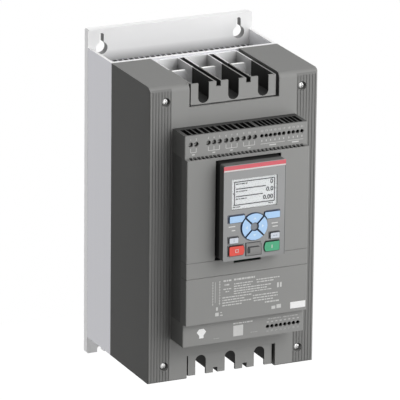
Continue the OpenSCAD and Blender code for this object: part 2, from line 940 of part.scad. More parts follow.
function groups_x(first, pitch, counts, skip) = [
    for (g = [0 : len(counts) - 1])
        for (k = [0 : counts[g] - 1])
            first + (sum_before(counts, g) + k + (g > 0 ? skip : 0)) * pitch + g * group_gap
];
function sum_before(counts, g) = g == 0 ? 0 : counts[g - 1] + sum_before(counts, g - 1);

upper_terminals = concat(
    [for (x = groups_x(large_first_x, large_pitch, large_counts, large_skip))
        [x, large_pitch, large_hole_d, large_head_sink]],
    [for (x = groups_x(small_first_x, small_pitch, small_counts, 0))
        [x, small_pitch, small_hole_d, small_head_sink]]
);
spare_places = [
    for (k = [0 : large_skip - 1]) [large_first_x + (large_counts[0] + k) * large_pitch, large_pitch]
];
lower_terminals = [
    for (k = [0 : lower_count - 1])
        [lower_first_x + k * small_pitch, small_pitch, small_hole_d, small_head_sink]
];

// Terminals are drawn under a level top face, then turned over for the lower row
module terminal_shell(front, height) {
    difference() {
        column(-height, height) moulding_plan(control_w, y_cover, front, control_edge_r);
        slab(y_cover + cut, y_cover - front - control_wall + cut)
            span(-control_w / 2 + control_wall, control_w / 2 - control_wall,
                -height + control_wall, -control_wall);
    }
}

module wire_slot(t, y_start, front) {
    span(-t[1] * wire_slot_share / 2, t[1] * wire_slot_share / 2, y_start,
        front + wire_slot_front + wire_slot_len);
}

module terminal_cover(terminals, spares, front, height) {
    difference() {
        terminal_shell(front, height);
        for (t = concat(terminals, spares))
            translate([t[0], 0, 0])
                column(-control_wall - cut, control_wall + 2 * cut)
                    wire_slot(t, front + wire_slot_front, front);
        for (t = terminals)
            translate([t[0], 0, -hole_row_inset])
                slab(front + control_wall + cut, control_wall + 2 * cut) circle(t[2] / 2);
    }
}

// The ledge's row of slots bites into the lower edge of the cover above it
module upper_terminal_cover() {
    color(panel_grey)
    difference() {
        on_top() terminal_cover(upper_terminals, spare_places, y_zone, zone_h);
        column(zone_z - cut, ledge_notch_h + cut) ledge_row(y_zone - cut, y_zone + ledge_notch_depth);
    }
}

module lower_terminal_cover() {
    color(panel_grey) on_bottom() terminal_cover(lower_terminals, [], y_strip, strip_h);
}

module terminal_block(t, front, height) {
    slab(front + control_wall + block_len, block_len)
        span(-t[1] * terminal_fill / 2, t[1] * terminal_fill / 2,
            -height + control_wall + bar_fit, -control_wall - bar_fit);
}

module terminal_blocks(terminals, spares, front, height) {
    y_block = front + control_wall;
    color(keypad_black) {
        for (t = spares)
            translate([t[0], 0, 0])
            difference() {
                terminal_block(t, front, height);
                column(-wire_mouth_depth, wire_mouth_depth) wire_slot(t, front + wire_slot_front, front);
            }
        for (t = terminals)
            translate([t[0], 0, 0])
            difference() {
                terminal_block(t, front, height);
                translate([0, 0, -hole_row_inset]) {
                    slab(y_block + t[3], t[3] + cut) circle(t[2] / 2);
                    slab(y_block + t[3] + clamp_thread_len + cut, clamp_thread_len + 2 * cut)
                        circle(clamp_thread_r + clamp_thread_fit);
                }
                column(-wire_mouth_depth, wire_mouth_depth) wire_slot(t, front + wire_slot_front, front);
                column(-wire_depth, wire_depth) wire_slot(t, y_block + t[3] + clamp_head_t, front);
            }
    }
}

module terminal_screws(terminals, front) {
    y_block = front + control_wall;
    color(tin_grey)
    for (t = terminals)
        translate([t[0], y_block + t[3], -hole_row_inset])
        difference() {
            union() {
                slab(0, clamp_head_t) circle(t[2] / 2 - clamp_head_fit);
                slab(clamp_thread_len, clamp_thread_len + merge) circle(clamp_thread_r);
            }
            slab(-clamp_head_t / 2, clamp_head_t) centred(t[2], clamp_slot_w);
        }
}

module on_top() {
    translate([0, 0, control_top_z]) children();
}

module on_bottom() {
    translate([0, 0, strip_z]) mirror([0, 0, 1]) children();
}

// Keypad

module keypad_outline(inset) {
    round_span(-keypad_w / 2 + inset, keypad_w / 2 - inset, keypad_z + inset, keypad_top_z - inset,
        keypad_corner_r);
}

module keypad_housing() {
    color(keypad_black)
    union() {
        difference() {
            slab(y_keypad_back, y_keypad_back - y_face_back) keypad_outline(0);
            slab(y_keypad_back - shell_t, y_keypad_back - y_face_back) keypad_outline(shell_t);
        }
        both_sides()
            for (z = [keypad_z + post_inset, keypad_top_z - post_inset])
                translate([keypad_w / 2 - post_inset, 0, z])
                    slab(y_keypad_back - shell_t + merge,
                        y_keypad_back - shell_t - y_keypad_board - board_t + merge)
                        circle(post_r);
        translate([0, 0, keypad_z + plug_up])
            slab(y_keypad_back + plug_len, plug_len + merge) centred(plug_w, plug_h);
    }
}

module accent_field(overhang) {
    top = keypad_top_z - accent_drop;
    span(-keypad_w / 2 - overhang, keypad_w / 2 + overhang, top - accent_h, top);
}

module window_field(grow) {
    translate([0, keypad_z + window_up]) centred(window_w + 2 * grow, window_h + 2 * grow);
}

// Front views of the keys, with room to grow for holes, moats and flanges

module soft_key_view(grow) {
    z = keypad_z + soft_up;
    difference() {
        round_span(key_reach - soft_w - grow, key_reach + grow, z - soft_h / 2 - grow,
            z + soft_h / 2 + grow, key_corner_r);
        translate([0, nav_z]) circle(nav_r + soft_rim - grow);
    }
}

module nav_key_view(turn, grow) {
    apex = (nav_split / 2 - grow) * sqrt(2);
    reach = 2 * nav_r;
    translate([0, nav_z])
    rotate(turn)
    intersection() {
        difference() {
            circle(nav_r + grow);
            circle(nav_hub_r - grow);
        }
        polygon([[0, apex], [reach, apex + reach], [-reach, apex + reach]]);
    }
}

module small_key_view(grow) {
    z = keypad_z + small_key_up;
    round_span(key_reach - small_key_w - grow, key_reach + grow, z - small_key_h / 2 - grow,
        z + small_key_h / 2 + grow, key_corner_r);
}

module run_key_view(grow) {
    z = keypad_z + run_key_up;
    x = key_reach - run_key_w + run_key_end_r;
    intersection() {
        round_span(key_reach - run_key_w - grow, key_reach + grow, z - run_key_h / 2 - grow,
            z + run_key_h / 2 + grow, key_corner_r);
        union() {
            translate([x, z]) circle(run_key_end_r + grow);
            span(x, key_reach + 2 * grow, z - run_key_h, z + run_key_h);
        }
    }
}

module every_key_view(grow) {
    both_sides() {
        soft_key_view(grow);
        small_key_view(grow);
        run_key_view(grow);
    }
    for (turn = [0, 90, 180, 270])
        nav_key_view(turn, grow);
}

module flap_view(grow) {
    w = flap_w + 2 * grow;
    r = flap_corner_r + grow;
    translate([0, flap_z]) {
        span(-w / 2, w / 2, -grow, flap_h + grow - r);
        span(-w / 2 + r, w / 2 - r, -grow, flap_h + grow);
        for (side = [-1, 1])
            translate([side * (w / 2 - r), flap_h + grow - r]) circle(r);
    }
}

module usb_opening(grow) {
    translate([0, keypad_z + usb_up]) centred(usb_w + 2 * grow, usb_h + 2 * grow);
}

module keypad_face() {
    color(face_grey)
    difference() {
        slab(y_face_back, face_t) keypad_outline(0);
        slab(y_face_back + cut, face_t + 2 * cut) {
            every_key_view(key_gap);
            window_field(window_fit);
            usb_opening(0);
        }
        slab(y_face + key_moat_depth, key_moat_depth + cut) every_key_view(key_moat);
        slab(y_face + accent_t, accent_t + cut) accent_field(cut);
        slab(y_face + flap_pocket_depth, flap_pocket_depth + cut) flap_view(flap_gap);
    }
}

module accent_strip() {
    color([0.83, 0.2, 0.27]) slab(y_face + accent_t, accent_t) accent_field(0);
}

module display_window() {
    color([0.9, 0.93, 0.95, 0.4]) slab(y_face_back, window_t) window_field(0);
}

module display_module() {
    color([0.9, 0.91, 0.92]) slab(y_keypad_board, display_depth) window_field(display_margin);
}

module keypad_board() {
    color(board_green)
    difference() {
        union() {
            slab(y_keypad_board + board_t, board_t) keypad_outline(keypad_board_inset);
            slab(y_keypad_board, display_depth - usb_back_gap) usb_opening(-usb_back_gap);
        }
        slab(y_keypad_board - usb_floor_t, display_depth) usb_opening(-usb_wall_t);
    }
}

// Middle of each outer key on both halves, and of each arrow key
function key_middles() = concat(
    [for (side = [-1, 1]) [side * (key_reach - soft_w / 3), keypad_z + soft_up]],
    [for (side = [-1, 1]) [side * (key_reach - small_key_w / 2), keypad_z + small_key_up]],
    [for (side = [-1, 1]) [side * (key_reach - run_key_w / 2), keypad_z + run_key_up]],
    [for (turn = [0, 90, 180, 270])
        [0, nav_z] + (nav_r + nav_hub_r) / 2 * [-sin(turn), cos(turn)]]
);

module key_mat() {
    mat_top_z = keypad_z + window_up - window_h / 2 - display_margin - mat_display_gap;
    y_dome = y_key_back + dome_room;
    color([0.3, 0.31, 0.33])
    difference() {
        union() {
            slab(y_keypad_board, mat_t)
                span(-keypad_w / 2 + mat_inset, keypad_w / 2 - mat_inset, keypad_z + mat_inset,
                    mat_top_z);
            for (p = key_middles())
                translate([p[0], 0, p[1]])
                    slab(y_keypad_board, y_keypad_board - y_dome) circle(dome_r);
        }
        slab(y_keypad_board + cut, display_depth + 2 * cut) usb_opening(usb_back_gap);
    }
}

module key_solid(tint) {
    color(tint)
    union() {
        slab(y_key_back, y_key_back - y_key) children(0);
        slab(y_face_back + key_flange_fit + key_flange_t, key_flange_t) children(1);
    }
}

module soft_key(side) {
    mirror([side < 0 ? 1 : 0, 0, 0])
        key_solid(key_blue) {
            soft_key_view(0);
            soft_key_view(key_flange_w);
        }
}

module nav_key(turn) {
    key_solid(key_blue) {
        nav_key_view(turn, 0);
        nav_key_view(turn, key_flange_w);
    }
}

module small_key(side) {
    mirror([side < 0 ? 1 : 0, 0, 0])
        key_solid(key_grey) {
            small_key_view(0);
            small_key_view(key_flange_w);
        }
}

module run_key(side, tint) {
    mirror([side < 0 ? 1 : 0, 0, 0])
        key_solid(tint) {
            run_key_view(0);
            run_key_view(key_flange_w);
        }
}

module usb_flap() {
    color(face_grey)
    union() {
        slab(y_flap_axis + flap_r, 2 * flap_r)
            intersection() {
                flap_view(0);
                span(-flap_w, flap_w, flap_z + flap_r, flap_z + 2 * flap_h);
            }
        lengthwise(-flap_w / 2, flap_w) translate([y_flap_axis, flap_z + flap_r]) circle(flap_r);
        slab(y_flap_axis, flap_r + flap_grip_t)
            translate([0, flap_z + flap_grip_up])
                round_span(-flap_grip_w / 2, flap_grip_w / 2, 0, flap_grip_h, key_corner_r);
    }
}

back_plate();
heatsink();
fan_holder();
fan_frame(-1);  // fan_frame_left
fan_frame(1);  // fan_frame_right
fan_rotor(-1);  // fan_rotor_left
fan_rotor(1);  // fan_rotor_right
thyristor_module(1);  // thyristor_module_1
thyristor_module(2);  // thyristor_module_2
thyristor_module(3);  // thyristor_module_3
line_busbar(1);  // line_busbar_1
line_busbar(2);  // line_busbar_2
line_busbar(3);  // line_busbar_3
load_busbar(1);  // load_busbar_1
load_busbar(2);  // load_busbar_2
load_busbar(3);  // load_busbar_3
bypass_contactor(1);  // bypass_contactor_1
bypass_contactor(2);  // bypass_contactor_2
bypass_contactor(3);  // bypass_contactor_3
current_transformer(1);  // current_transformer_1
current_transformer(2);  // current_transformer_2
current_transformer(3);  // current_transformer_3
power_board();
terminal_housing();  // line_terminal_housing
mirror([0, 0, 1]) terminal_housing();  // load_terminal_housing
terminal_shroud();  // line_terminal_shroud
mirror([0, 0, 1]) terminal_shroud();  // load_terminal_shroud
cover_pillars();
front_cover();
cover_screws();
control_base();
control_board();
upper_terminal_cover();
on_top() terminal_blocks(upper_terminals, spare_places, y_zone, zone_h);  // upper_terminal_blocks
on_top() terminal_screws(upper_terminals, y_zone);  // upper_terminal_screws
lower_terminal_cover();
on_bottom() terminal_blocks(lower_terminals, [], y_strip, strip_h);  // lower_terminal_blocks
on_bottom() terminal_screws(lower_terminals, y_strip);  // lower_terminal_screws
keypad_panel();
middle_band();
lower_front();
keypad_cradle();
keypad_housing();
keypad_face();
accent_strip();
display_window();
display_module();
keypad_board();
key_mat();
soft_key(-1);  // soft_key_left
soft_key(1);  // soft_key_right
nav_key(0);  // nav_key_up
nav_key(180);  // nav_key_down
nav_key(90);  // nav_key_left
nav_key(270);  // nav_key_right
small_key(-1);  // info_key
small_key(1);  // local_key
run_key(-1, [0.85, 0.25, 0.2]);  // stop_key
run_key(1, [0.16, 0.55, 0.38]);  // start_key
usb_flap();
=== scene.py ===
import json
import math

import bmesh
import bpy
from mathutils import Matrix, Vector

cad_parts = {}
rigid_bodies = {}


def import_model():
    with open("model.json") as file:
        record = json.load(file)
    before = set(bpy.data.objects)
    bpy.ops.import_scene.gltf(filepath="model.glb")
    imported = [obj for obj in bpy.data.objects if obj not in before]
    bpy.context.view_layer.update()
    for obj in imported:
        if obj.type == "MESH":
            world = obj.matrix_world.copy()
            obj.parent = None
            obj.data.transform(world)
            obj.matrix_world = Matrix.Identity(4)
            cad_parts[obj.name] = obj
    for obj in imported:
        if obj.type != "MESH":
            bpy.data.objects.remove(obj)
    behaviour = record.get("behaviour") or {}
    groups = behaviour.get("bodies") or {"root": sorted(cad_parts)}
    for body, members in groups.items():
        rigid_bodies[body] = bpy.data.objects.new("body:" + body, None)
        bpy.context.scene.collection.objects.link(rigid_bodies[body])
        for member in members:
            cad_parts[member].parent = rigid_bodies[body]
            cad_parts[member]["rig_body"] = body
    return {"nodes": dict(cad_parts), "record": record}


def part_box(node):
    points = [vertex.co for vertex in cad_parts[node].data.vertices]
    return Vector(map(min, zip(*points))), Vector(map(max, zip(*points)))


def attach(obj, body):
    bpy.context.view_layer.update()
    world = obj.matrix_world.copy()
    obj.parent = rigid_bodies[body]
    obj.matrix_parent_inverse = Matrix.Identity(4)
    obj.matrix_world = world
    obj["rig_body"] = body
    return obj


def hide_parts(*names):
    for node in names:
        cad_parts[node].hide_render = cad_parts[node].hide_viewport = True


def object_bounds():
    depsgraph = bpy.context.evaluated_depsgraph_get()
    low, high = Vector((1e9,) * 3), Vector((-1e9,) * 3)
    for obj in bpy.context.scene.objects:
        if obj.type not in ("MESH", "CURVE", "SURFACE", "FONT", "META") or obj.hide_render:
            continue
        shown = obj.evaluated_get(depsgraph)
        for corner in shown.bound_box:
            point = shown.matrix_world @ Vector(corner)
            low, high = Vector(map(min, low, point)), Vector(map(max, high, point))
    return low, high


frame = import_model()
cad_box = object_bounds()


# Camera
# A long lens from the left and a little above, far enough away that upright edges stay almost parallel.
# Its angles, distance and target place the unit's own corners where the product picture has them.
MM = 0.001
view_azimuth = math.radians(-24.83)
view_elevation = math.radians(18.10)
view_roll = math.radians(0.63)
view_distance = 5067.5 * MM
view_target = Vector((-0.2, -91.58, 4.98)) * MM


def direction(azimuth, elevation):
    """Unit vector towards a place around the object; azimuth is nought in front and grows to the right."""
    return Vector((
        math.sin(azimuth) * math.cos(elevation),
        -math.cos(azimuth) * math.cos(elevation),
        math.sin(elevation),
    ))


towards_viewer = direction(view_azimuth, view_elevation)
level_right = Vector((math.cos(view_azimuth), math.sin(view_azimuth), 0))
level_up = towards_viewer.cross(level_right)
image_right = level_right * math.cos(view_roll) + level_up * math.sin(view_roll)
image_up = level_up * math.cos(view_roll) - level_right * math.sin(view_roll)


def show(thing):
    """Puts a new object into the scene."""
    bpy.context.scene.collection.objects.link(thing)
    return thing


camera = show(bpy.data.objects.new("camera", bpy.data.cameras.new("camera")))
camera.data.lens = 414.2
camera.data.sensor_width = 36
camera.data.clip_end = 50
camera.matrix_world = (
    Matrix.Translation(view_target + towards_viewer * view_distance)
    @ Matrix((image_right, image_up, towards_viewer)).transposed().to_4x4()
)
bpy.context.scene.camera = camera


# Mounting plate
# A thick aluminium plate with two keyholes above and two open slots below, which hangs on four wall screws.
# It is sawn from bar, drilled, and bead blasted to an even silver white.
def feed(tree, socket, value):
    """Sets a socket to a value, or links it to another node's socket."""
    if isinstance(value, bpy.types.NodeSocket):
        tree.links.new(value, socket)
    else:
        socket.default_value = value


def add_node(tree, kind, **inputs):
    """A node whose named inputs are set or linked."""
    made = tree.nodes.new(kind)
    for name, value in inputs.items():
        feed(tree, made.inputs[name.replace("_", " ")], value)
    return made


def calculate(tree, operation, *terms):
    """The result of a sum on plain numbers and other nodes' sockets."""
    made = tree.nodes.new("ShaderNodeMath")
    made.operation = operation
    for socket, term in zip(made.inputs, terms):
        feed(tree, socket, term)
    return made.outputs[0]


def start_finish(name):
    """A new material with its shader and the object's own coordinates."""
    material = bpy.data.materials.new(name)
    material.use_nodes = True
    tree = material.node_tree
    place = tree.nodes.new("ShaderNodeTexCoord").outputs["Object"]
    return material, tree, tree.nodes["Principled BSDF"], place


def noise(tree, place, scale, detail):
    return add_node(tree, "ShaderNodeTexNoise", Vector=place, Scale=scale, Detail=detail).outputs["Fac"]


def blend_colours(tree, factor, low, high):
    """Colour that runs from one value to another; either may be another node's colour."""
    tint = tree.nodes.new("ShaderNodeMix")
    tint.data_type = "RGBA"
    feed(tree, tint.inputs["Factor"], factor)
    for socket, colour in ((tint.inputs[6], low), (tint.inputs[7], high)):
        feed(tree, socket, colour if isinstance(colour, bpy.types.NodeSocket) else (*colour, 1))
    return tint.outputs[2]


def vary_colour(tree, shader, factor, colour, spread):
    """Base colour that wanders by a share either side of its middle value."""
    low = [c * (1 - spread) for c in colour]
    high = [min(1, c * (1 + spread)) for c in colour]
    tree.links.new(blend_colours(tree, factor, low, high), shader.inputs["Base Color"])


def ramp(tree, value, start, end, low, high):
    """Number that runs from low to high as the value goes from start to end."""
    return add_node(
        tree, "ShaderNodeMapRange", Value=value, From_Min=start, From_Max=end, To_Min=low, To_Max=high
    ).outputs["Result"]


def vary_roughness(tree, shader, factor, low, high):
    tree.links.new(ramp(tree, factor, 0.3, 0.7, low, high), shader.inputs["Roughness"])


def raise_bumps(tree, shader, height, depth, strength):
    bump = add_node(tree, "ShaderNodeBump", Height=height, Distance=depth, Strength=strength)
    tree.links.new(bump.outputs["Normal"], shader.inputs["Normal"])


def blasted_aluminium(name, colour, share_metal):
    """Even, slightly sparkling silver, part mirror and part matt."""
    material, tree, shader, place = start_finish(name)
    grit = noise(tree, place, 2200, 2)
    shader.inputs["Metallic"].default_value = share_metal
    vary_colour(tree, shader, noise(tree, place, 14, 3), colour, 0.02)
    vary_roughness(tree, shader, grit, 0.42, 0.56)
    raise_bumps(tree, shader, grit, 0.02 * MM, 0.25)
    return material


slot_of = {part["node"]: part["material_slot"] for part in frame["record"]["subparts"]}


def place_piece(piece, body, slot, *nodes):
    """Puts a finished piece on its body and lets it stand for CAD nodes, which it hides; the slot is not
    used.
    """
    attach(piece, body)
    if nodes:
        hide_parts(*nodes)
    return piece


def finish_node(node, finish, edge, others=(), choose=None):
    """A copy of a solid, its edges broken by so many millimetres; other finishes may cover some faces."""
    source = frame["nodes"][node]
    shape = bmesh.new()
    shape.from_mesh(source.data)
    bmesh.ops.remove_doubles(shape, verts=shape.verts, dist=0.002 * MM)
    bmesh.ops.dissolve_limit(shape, angle_limit=math.radians(1), verts=shape.verts, edges=shape.edges)
    mesh = bpy.data.meshes.new(node + "_finished")
    shape.to_mesh(mesh)
    shape.free()
    for name in ("custom_normal", "sharp_edge"):
        if name in mesh.attributes:
            mesh.attributes.remove(mesh.attributes[name])
    mesh.materials.clear()
    for each in (finish, *others):
        mesh.materials.append(each)
    for face in mesh.polygons:
        corners = [mesh.vertices[i].co / MM for i in face.vertices]
        face.material_index = choose(corners, face.normal) if choose else 0
        face.use_smooth = True
    piece = show(bpy.data.objects.new(node + "_finished", mesh))
    broken = piece.modifiers.new("broken edges", "BEVEL")
    broken.width = edge * MM
    broken.segments = 2
    broken.limit_method = "ANGLE"
    broken.angle_limit = math.radians(40)
    broken.use_clamp_overlap = True
    broken.harden_normals = True
    return place_piece(piece, source["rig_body"], slot_of[node], node)


def finish_parts(material):
    """The tree of a finish, the socket of its base colour and the object's own X, Y and Z."""
    tree = material.node_tree
    place = tree.nodes["Texture Coordinate"].outputs["Object"]
    axes = add_node(tree, "ShaderNodeSeparateXYZ", Vector=place).outputs
    return tree, tree.nodes["Principled BSDF"].inputs["Base Color"], axes


def shade_colour(tree, base, factor, colour):
    """Blends the present base colour into another one as the factor rises to one."""
    tree.links.new(blend_colours(tree, factor, base.links[0].from_socket, colour), base)


def shaded_plate(name, colour):
    """Blasted silver with painted shade: greyer towards its right end and near the fins, darkest between
    them.
    """
    material = blasted_aluminium(name, colour, 0.03)
    tree, base, axes = finish_parts(material)
    height = calculate(tree, "ABSOLUTE", axes["Z"])
    for factor, share in (
        (ramp(tree, axes["X"], right_shade_start * MM, right_shade_end * MM, 0, 1), right_shade_share),
        (ramp(tree, height, plate_shade_low * MM, plate_shade_high * MM, 1, 0), shade_share),
        (ramp(tree, height, (plate_shade_low - 0.6) * MM, plate_shade_low * MM, 1, 0), deep_shade_share),
    ):
        shade_colour(tree, base, factor, [c * share for c in colour])
    return material


def plate_face(corners, normal):
    """The front takes painted shade towards the fins, the walls of the holes are painted dark as shade, and
    the ends are sawn.
    """
    if normal.y < -0.5:
        return 1
    inner = all(abs(corner.x) < plate_side and abs(corner.z) < plate_end for corner in corners)
    if inner and normal.y < 0.5:
        return 2
    return 3 if abs(normal.z) > 0.5 else 0


plate_side, plate_end = 99, 188.3
# Painted shade on the plate's front, towards the fins and towards its right end
plate_shade_low, plate_shade_high = 150.8, 163
right_shade_start, right_shade_end = 62, 90
shade_share, deep_shade_share, right_shade_share = 0.42, 0.14, 0.85
plate_white = blasted_aluminium("blasted_plate", (0.97, 0.97, 0.975), 0.5)
plate_front = shaded_plate("blasted_front", (0.985, 0.985, 0.985))
# The walls of the holes are painted dark, as shade inside them
cut_wall = blasted_aluminium("cut_wall", (0.24, 0.24, 0.24), 0.4)
# The sawn ends of the plate; on the heat sink's upper rim it is also a painted highlight
sawn_end = blasted_aluminium("sawn_end", (0.97, 0.97, 0.97), 0.42)
finish_node("back_plate", plate_white, 0.5, [plate_front, cut_wall, sawn_end], plate_face)


# Heat sink and fan holder
# One aluminium extrusion: a thick front wall, two side walls and a comb of fins between them.
# It is cut to length, satin anodised and screwed to the plate; the fan holder is folded from thin sheet.
def extruded_aluminium(name, colour, share_metal):
    """Satin silver with the fine upright lines that a die leaves."""
    material, tree, shader, place = start_finish(name)
    drawn = add_node(tree, "ShaderNodeMapping", Vector=place, Scale=(900, 900, 3))
    lines = noise(tree, drawn.outputs["Vector"], 1, 3)
    shader.inputs["Metallic"].default_value = share_metal
    vary_colour(tree, shader, lines, colour, 0.025)
    vary_roughness(tree, shader, lines, 0.4, 0.52)
    raise_bumps(tree, shader, lines, 0.015 * MM, 0.2)
    return material


def sink_face(corners, normal):
    """Fins and the faces between them take painted shade, inner faces of the side walls painted light, and
    the sawn upper rim a painted highlight.
    """
    in_front = any(corner.y < wall_front for corner in corners)
    if normal.z > 0.5 and in_front:
        return 3
    if in_front or abs(normal.z) > 0.5 or any(abs(corner.x) > wall_inside + 0.1 for corner in corners):
        return 0
    return 1 if all(abs(corner.x) < wall_inside - 0.1 for corner in corners) else 2


def lift_level(piece, level, rise):
    """Raises the corners of a piece that lie at one height."""
    for corner in piece.data.vertices:
        if abs(corner.co.z - level * MM) < 0.02 * MM:
            corner.co.z += rise * MM


wall_front, wall_inside = -68.9, 96
sink_silver = extruded_aluminium("anodised_extrusion", (0.65, 0.65, 0.68), 0.75)
# Painted shade on the fins and between them
fin_grey = extruded_aluminium("fin_grey", (0.2, 0.2, 0.21), 0.4)
# Painted light on the inner faces of the side walls
wall_pale = extruded_aluminium("wall_pale", (0.9, 0.9, 0.91), 0.95)
heatsink = finish_node("heatsink", sink_silver, 0.25, [fin_grey, wall_pale, sawn_end], sink_face)

# The fins' ends stand a little higher than in the frame, so that they just show over the front wall
fin_end, fin_rise = 149.3, 1.6
lift_level(heatsink, fin_end, fin_rise)
finish_node("fan_holder", blasted_aluminium("sheet_aluminium", (0.6, 0.6, 0.62), 0.6), 0.2)


# Fans
# Two axial fans draw air in at the bottom and blow it up between the fins.
# Frames and rotors are moulded in black glass-filled plastic; blades are thin, curved and twisted.
def moulded_plastic(name, colour, low_gloss=0.5, high_gloss=0.64, shine=0.25, clouds=11):
    """Spark-textured moulding: fine grain, faint flow clouds and a low sheen."""
    material, tree, shader, place = start_finish(name)
    grain = noise(tree, place, 1500, 3)
    shader.inputs["Specular IOR Level"].default_value = shine
    vary_colour(tree, shader, noise(tree, place, clouds, 2), colour, 0.03)
    vary_roughness(tree, shader, grain, low_gloss, high_gloss)
    raise_bumps(tree, shader, grain, 0.02 * MM, 0.3)
    return material


def new_tree(name, *sockets):
    """A modifier tree with named inputs, which ends in real geometry with one finish."""
    tree = bpy.data.node_groups.new(name, "GeometryNodeTree")
    tree.interface.new_socket("Geometry", in_out="OUTPUT", socket_type="NodeSocketGeometry")
    for label, kind in (*sockets, ("Finish", "NodeSocketMaterial")):
        tree.interface.new_socket(label, in_out="INPUT", socket_type=kind)
    inputs = tree.nodes.new("NodeGroupInput").outputs
    realise = tree.nodes.new("GeometryNodeRealizeInstances")
    paint = add_node(
        tree, "GeometryNodeSetMaterial",
        Geometry=realise.outputs["Geometry"], Material=inputs["Finish"],
    )
    tree.links.new(paint.outputs["Geometry"], tree.nodes.new("NodeGroupOutput").inputs["Geometry"])
    return tree, inputs, realise.inputs["Geometry"]


def instance_shape(tree, shape_input, points, **more):
    """Copies of an object's shape on points."""
    shape = add_node(tree, "GeometryNodeObjectInfo", Object=shape_input)
    return add_node(
        tree, "GeometryNodeInstanceOnPoints", Points=points, Instance=shape.outputs["Geometry"], **more
    ).outputs["Instances"]


def plain_mesh(holder):
    """The mesh that an object's curves or modifiers come to."""
    bpy.context.view_layer.update()
    return bpy.data.meshes.new_from_object(holder.evaluated_get(bpy.context.evaluated_depsgraph_get()))


def run_tree(name, tree, **values):
    """A plain mesh object made by a tree from its named inputs."""
    holder = show(bpy.data.objects.new(name, bpy.data.meshes.new(name)))
    grower = holder.modifiers.new(tree.name, "NODES")
    grower.node_group = tree
    for item in tree.interface.items_tree:
        if item.item_type == "SOCKET" and item.in_out == "INPUT":
            grower[item.identifier] = values[item.name.replace(" ", "_").lower()]
    grown = plain_mesh(holder)
    holder.modifiers.clear()
    holder.data = grown
    grown.name = name
    return holder


def keep_shape(name, shape):
    """A bmesh as an object with outward faces."""
    bmesh.ops.remove_doubles(shape, verts=shape.verts, dist=0.002 * MM)
    bmesh.ops.recalc_face_normals(shape, faces=shape.faces)
    mesh = bpy.data.meshes.new(name)
    shape.to_mesh(mesh)
    shape.free()
    return show(bpy.data.objects.new(name, mesh))


def turned_shape(name, profile, steps):
    """A turned piece about the Z axis, from radius and height pairs in millimetres."""
    shape = bmesh.new()
    rim = [shape.verts.new((radius * MM, 0, height * MM)) for radius, height in profile]
    edges = [shape.edges.new(pair) for pair in zip(rim, rim[1:])]
    bmesh.ops.spin(shape, geom=rim + edges, cent=(0, 0, 0), axis=(0, 0, 1), angle=2 * math.pi, steps=steps)
    return keep_shape(name, shape)


def smooth_faces(piece, angle):
    for face in piece.data.polygons:
        face.use_smooth = True
    piece.data.set_sharp_from_angle(angle=math.radians(angle))


def box_mm(node):
    """The two end corners of a node's box, in millimetres."""
    return [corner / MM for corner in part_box(node)]


def drop_shapes(*pieces):
    """Removes the pattern shapes that a tree has copied."""
    for piece in pieces:
        bpy.data.objects.remove(piece)


fan_black = moulded_plastic("fan_black", (0.022, 0.022, 0.024), 0.4, 0.55, 0.4)
blade_rows, blade_columns = 7, 9
blade_root, blade_tip = 13.6, 26.6
blade_chord = 15.0
blade_thickness = 1.1
root_pitch, tip_pitch = math.radians(44), math.radians(27)
camber = 0.09
blade_count = 7
hub_radius, hub_height, hub_round, hub_chamfer = 14.0, 20.8, 1.5, 0.5
shaft_radius = 1.5
turned_steps = 40

spin_tree, spin_in, spin_out = new_tree(
    "blades around a hub",
    ("Count", "NodeSocketInt"), ("Blade", "NodeSocketObject"), ("Hub", "NodeSocketObject"),
)
turn_step = calculate(spin_tree, "DIVIDE", 2 * math.pi, spin_in["Count"])
blade_index = spin_tree.nodes.new("GeometryNodeInputIndex").outputs[0]
turn = calculate(spin_tree, "MULTIPLY", blade_index, turn_step)
blade_ring = instance_shape(
    spin_tree, spin_in["Blade"],
    add_node(spin_tree, "GeometryNodePoints", Count=spin_in["Count"]).outputs[0],
    Rotation=add_node(spin_tree, "ShaderNodeCombineXYZ", Z=turn).outputs[0],
)
whole_rotor = spin_tree.nodes.new("GeometryNodeJoinGeometry")
hub_in = add_node(spin_tree, "GeometryNodeObjectInfo", Object=spin_in["Hub"])
spin_tree.links.new(hub_in.outputs["Geometry"], whole_rotor.inputs[0])
spin_tree.links.new(blade_ring, whole_rotor.inputs[0])
spin_tree.links.new(whole_rotor.outputs[0], spin_out)

blade_shape = bmesh.new()
for row in range(blade_rows):
    share = row / (blade_rows - 1)
    radius = blade_root + (blade_tip - blade_root) * share
    pitch = root_pitch + (tip_pitch - root_pitch) * share
    for column in range(blade_columns):
        along = (column / (blade_columns - 1) - 0.5) * blade_chord
        lift = camber * blade_chord * (1 - (2 * along / blade_chord) ** 2)
        sweep = (along * math.cos(pitch) - lift * math.sin(pitch)) / radius
        height = along * math.sin(pitch) + lift * math.cos(pitch)
        blade_shape.verts.new((
            radius * math.cos(sweep) * MM, radius * math.sin(sweep) * MM, height * MM,
        ))
blade_shape.verts.ensure_lookup_table()
for row in range(blade_rows - 1):
    for column in range(blade_columns - 1):
        first = row * blade_columns + column
        above = first + blade_columns
        blade_shape.faces.new([blade_shape.verts[i] for i in (first, first + 1, above + 1, above)])
blade = keep_shape("fan blade", blade_shape)
thick = blade.modifiers.new("moulded wall", "SOLIDIFY")
thick.thickness = blade_thickness * MM
thick.offset = 0

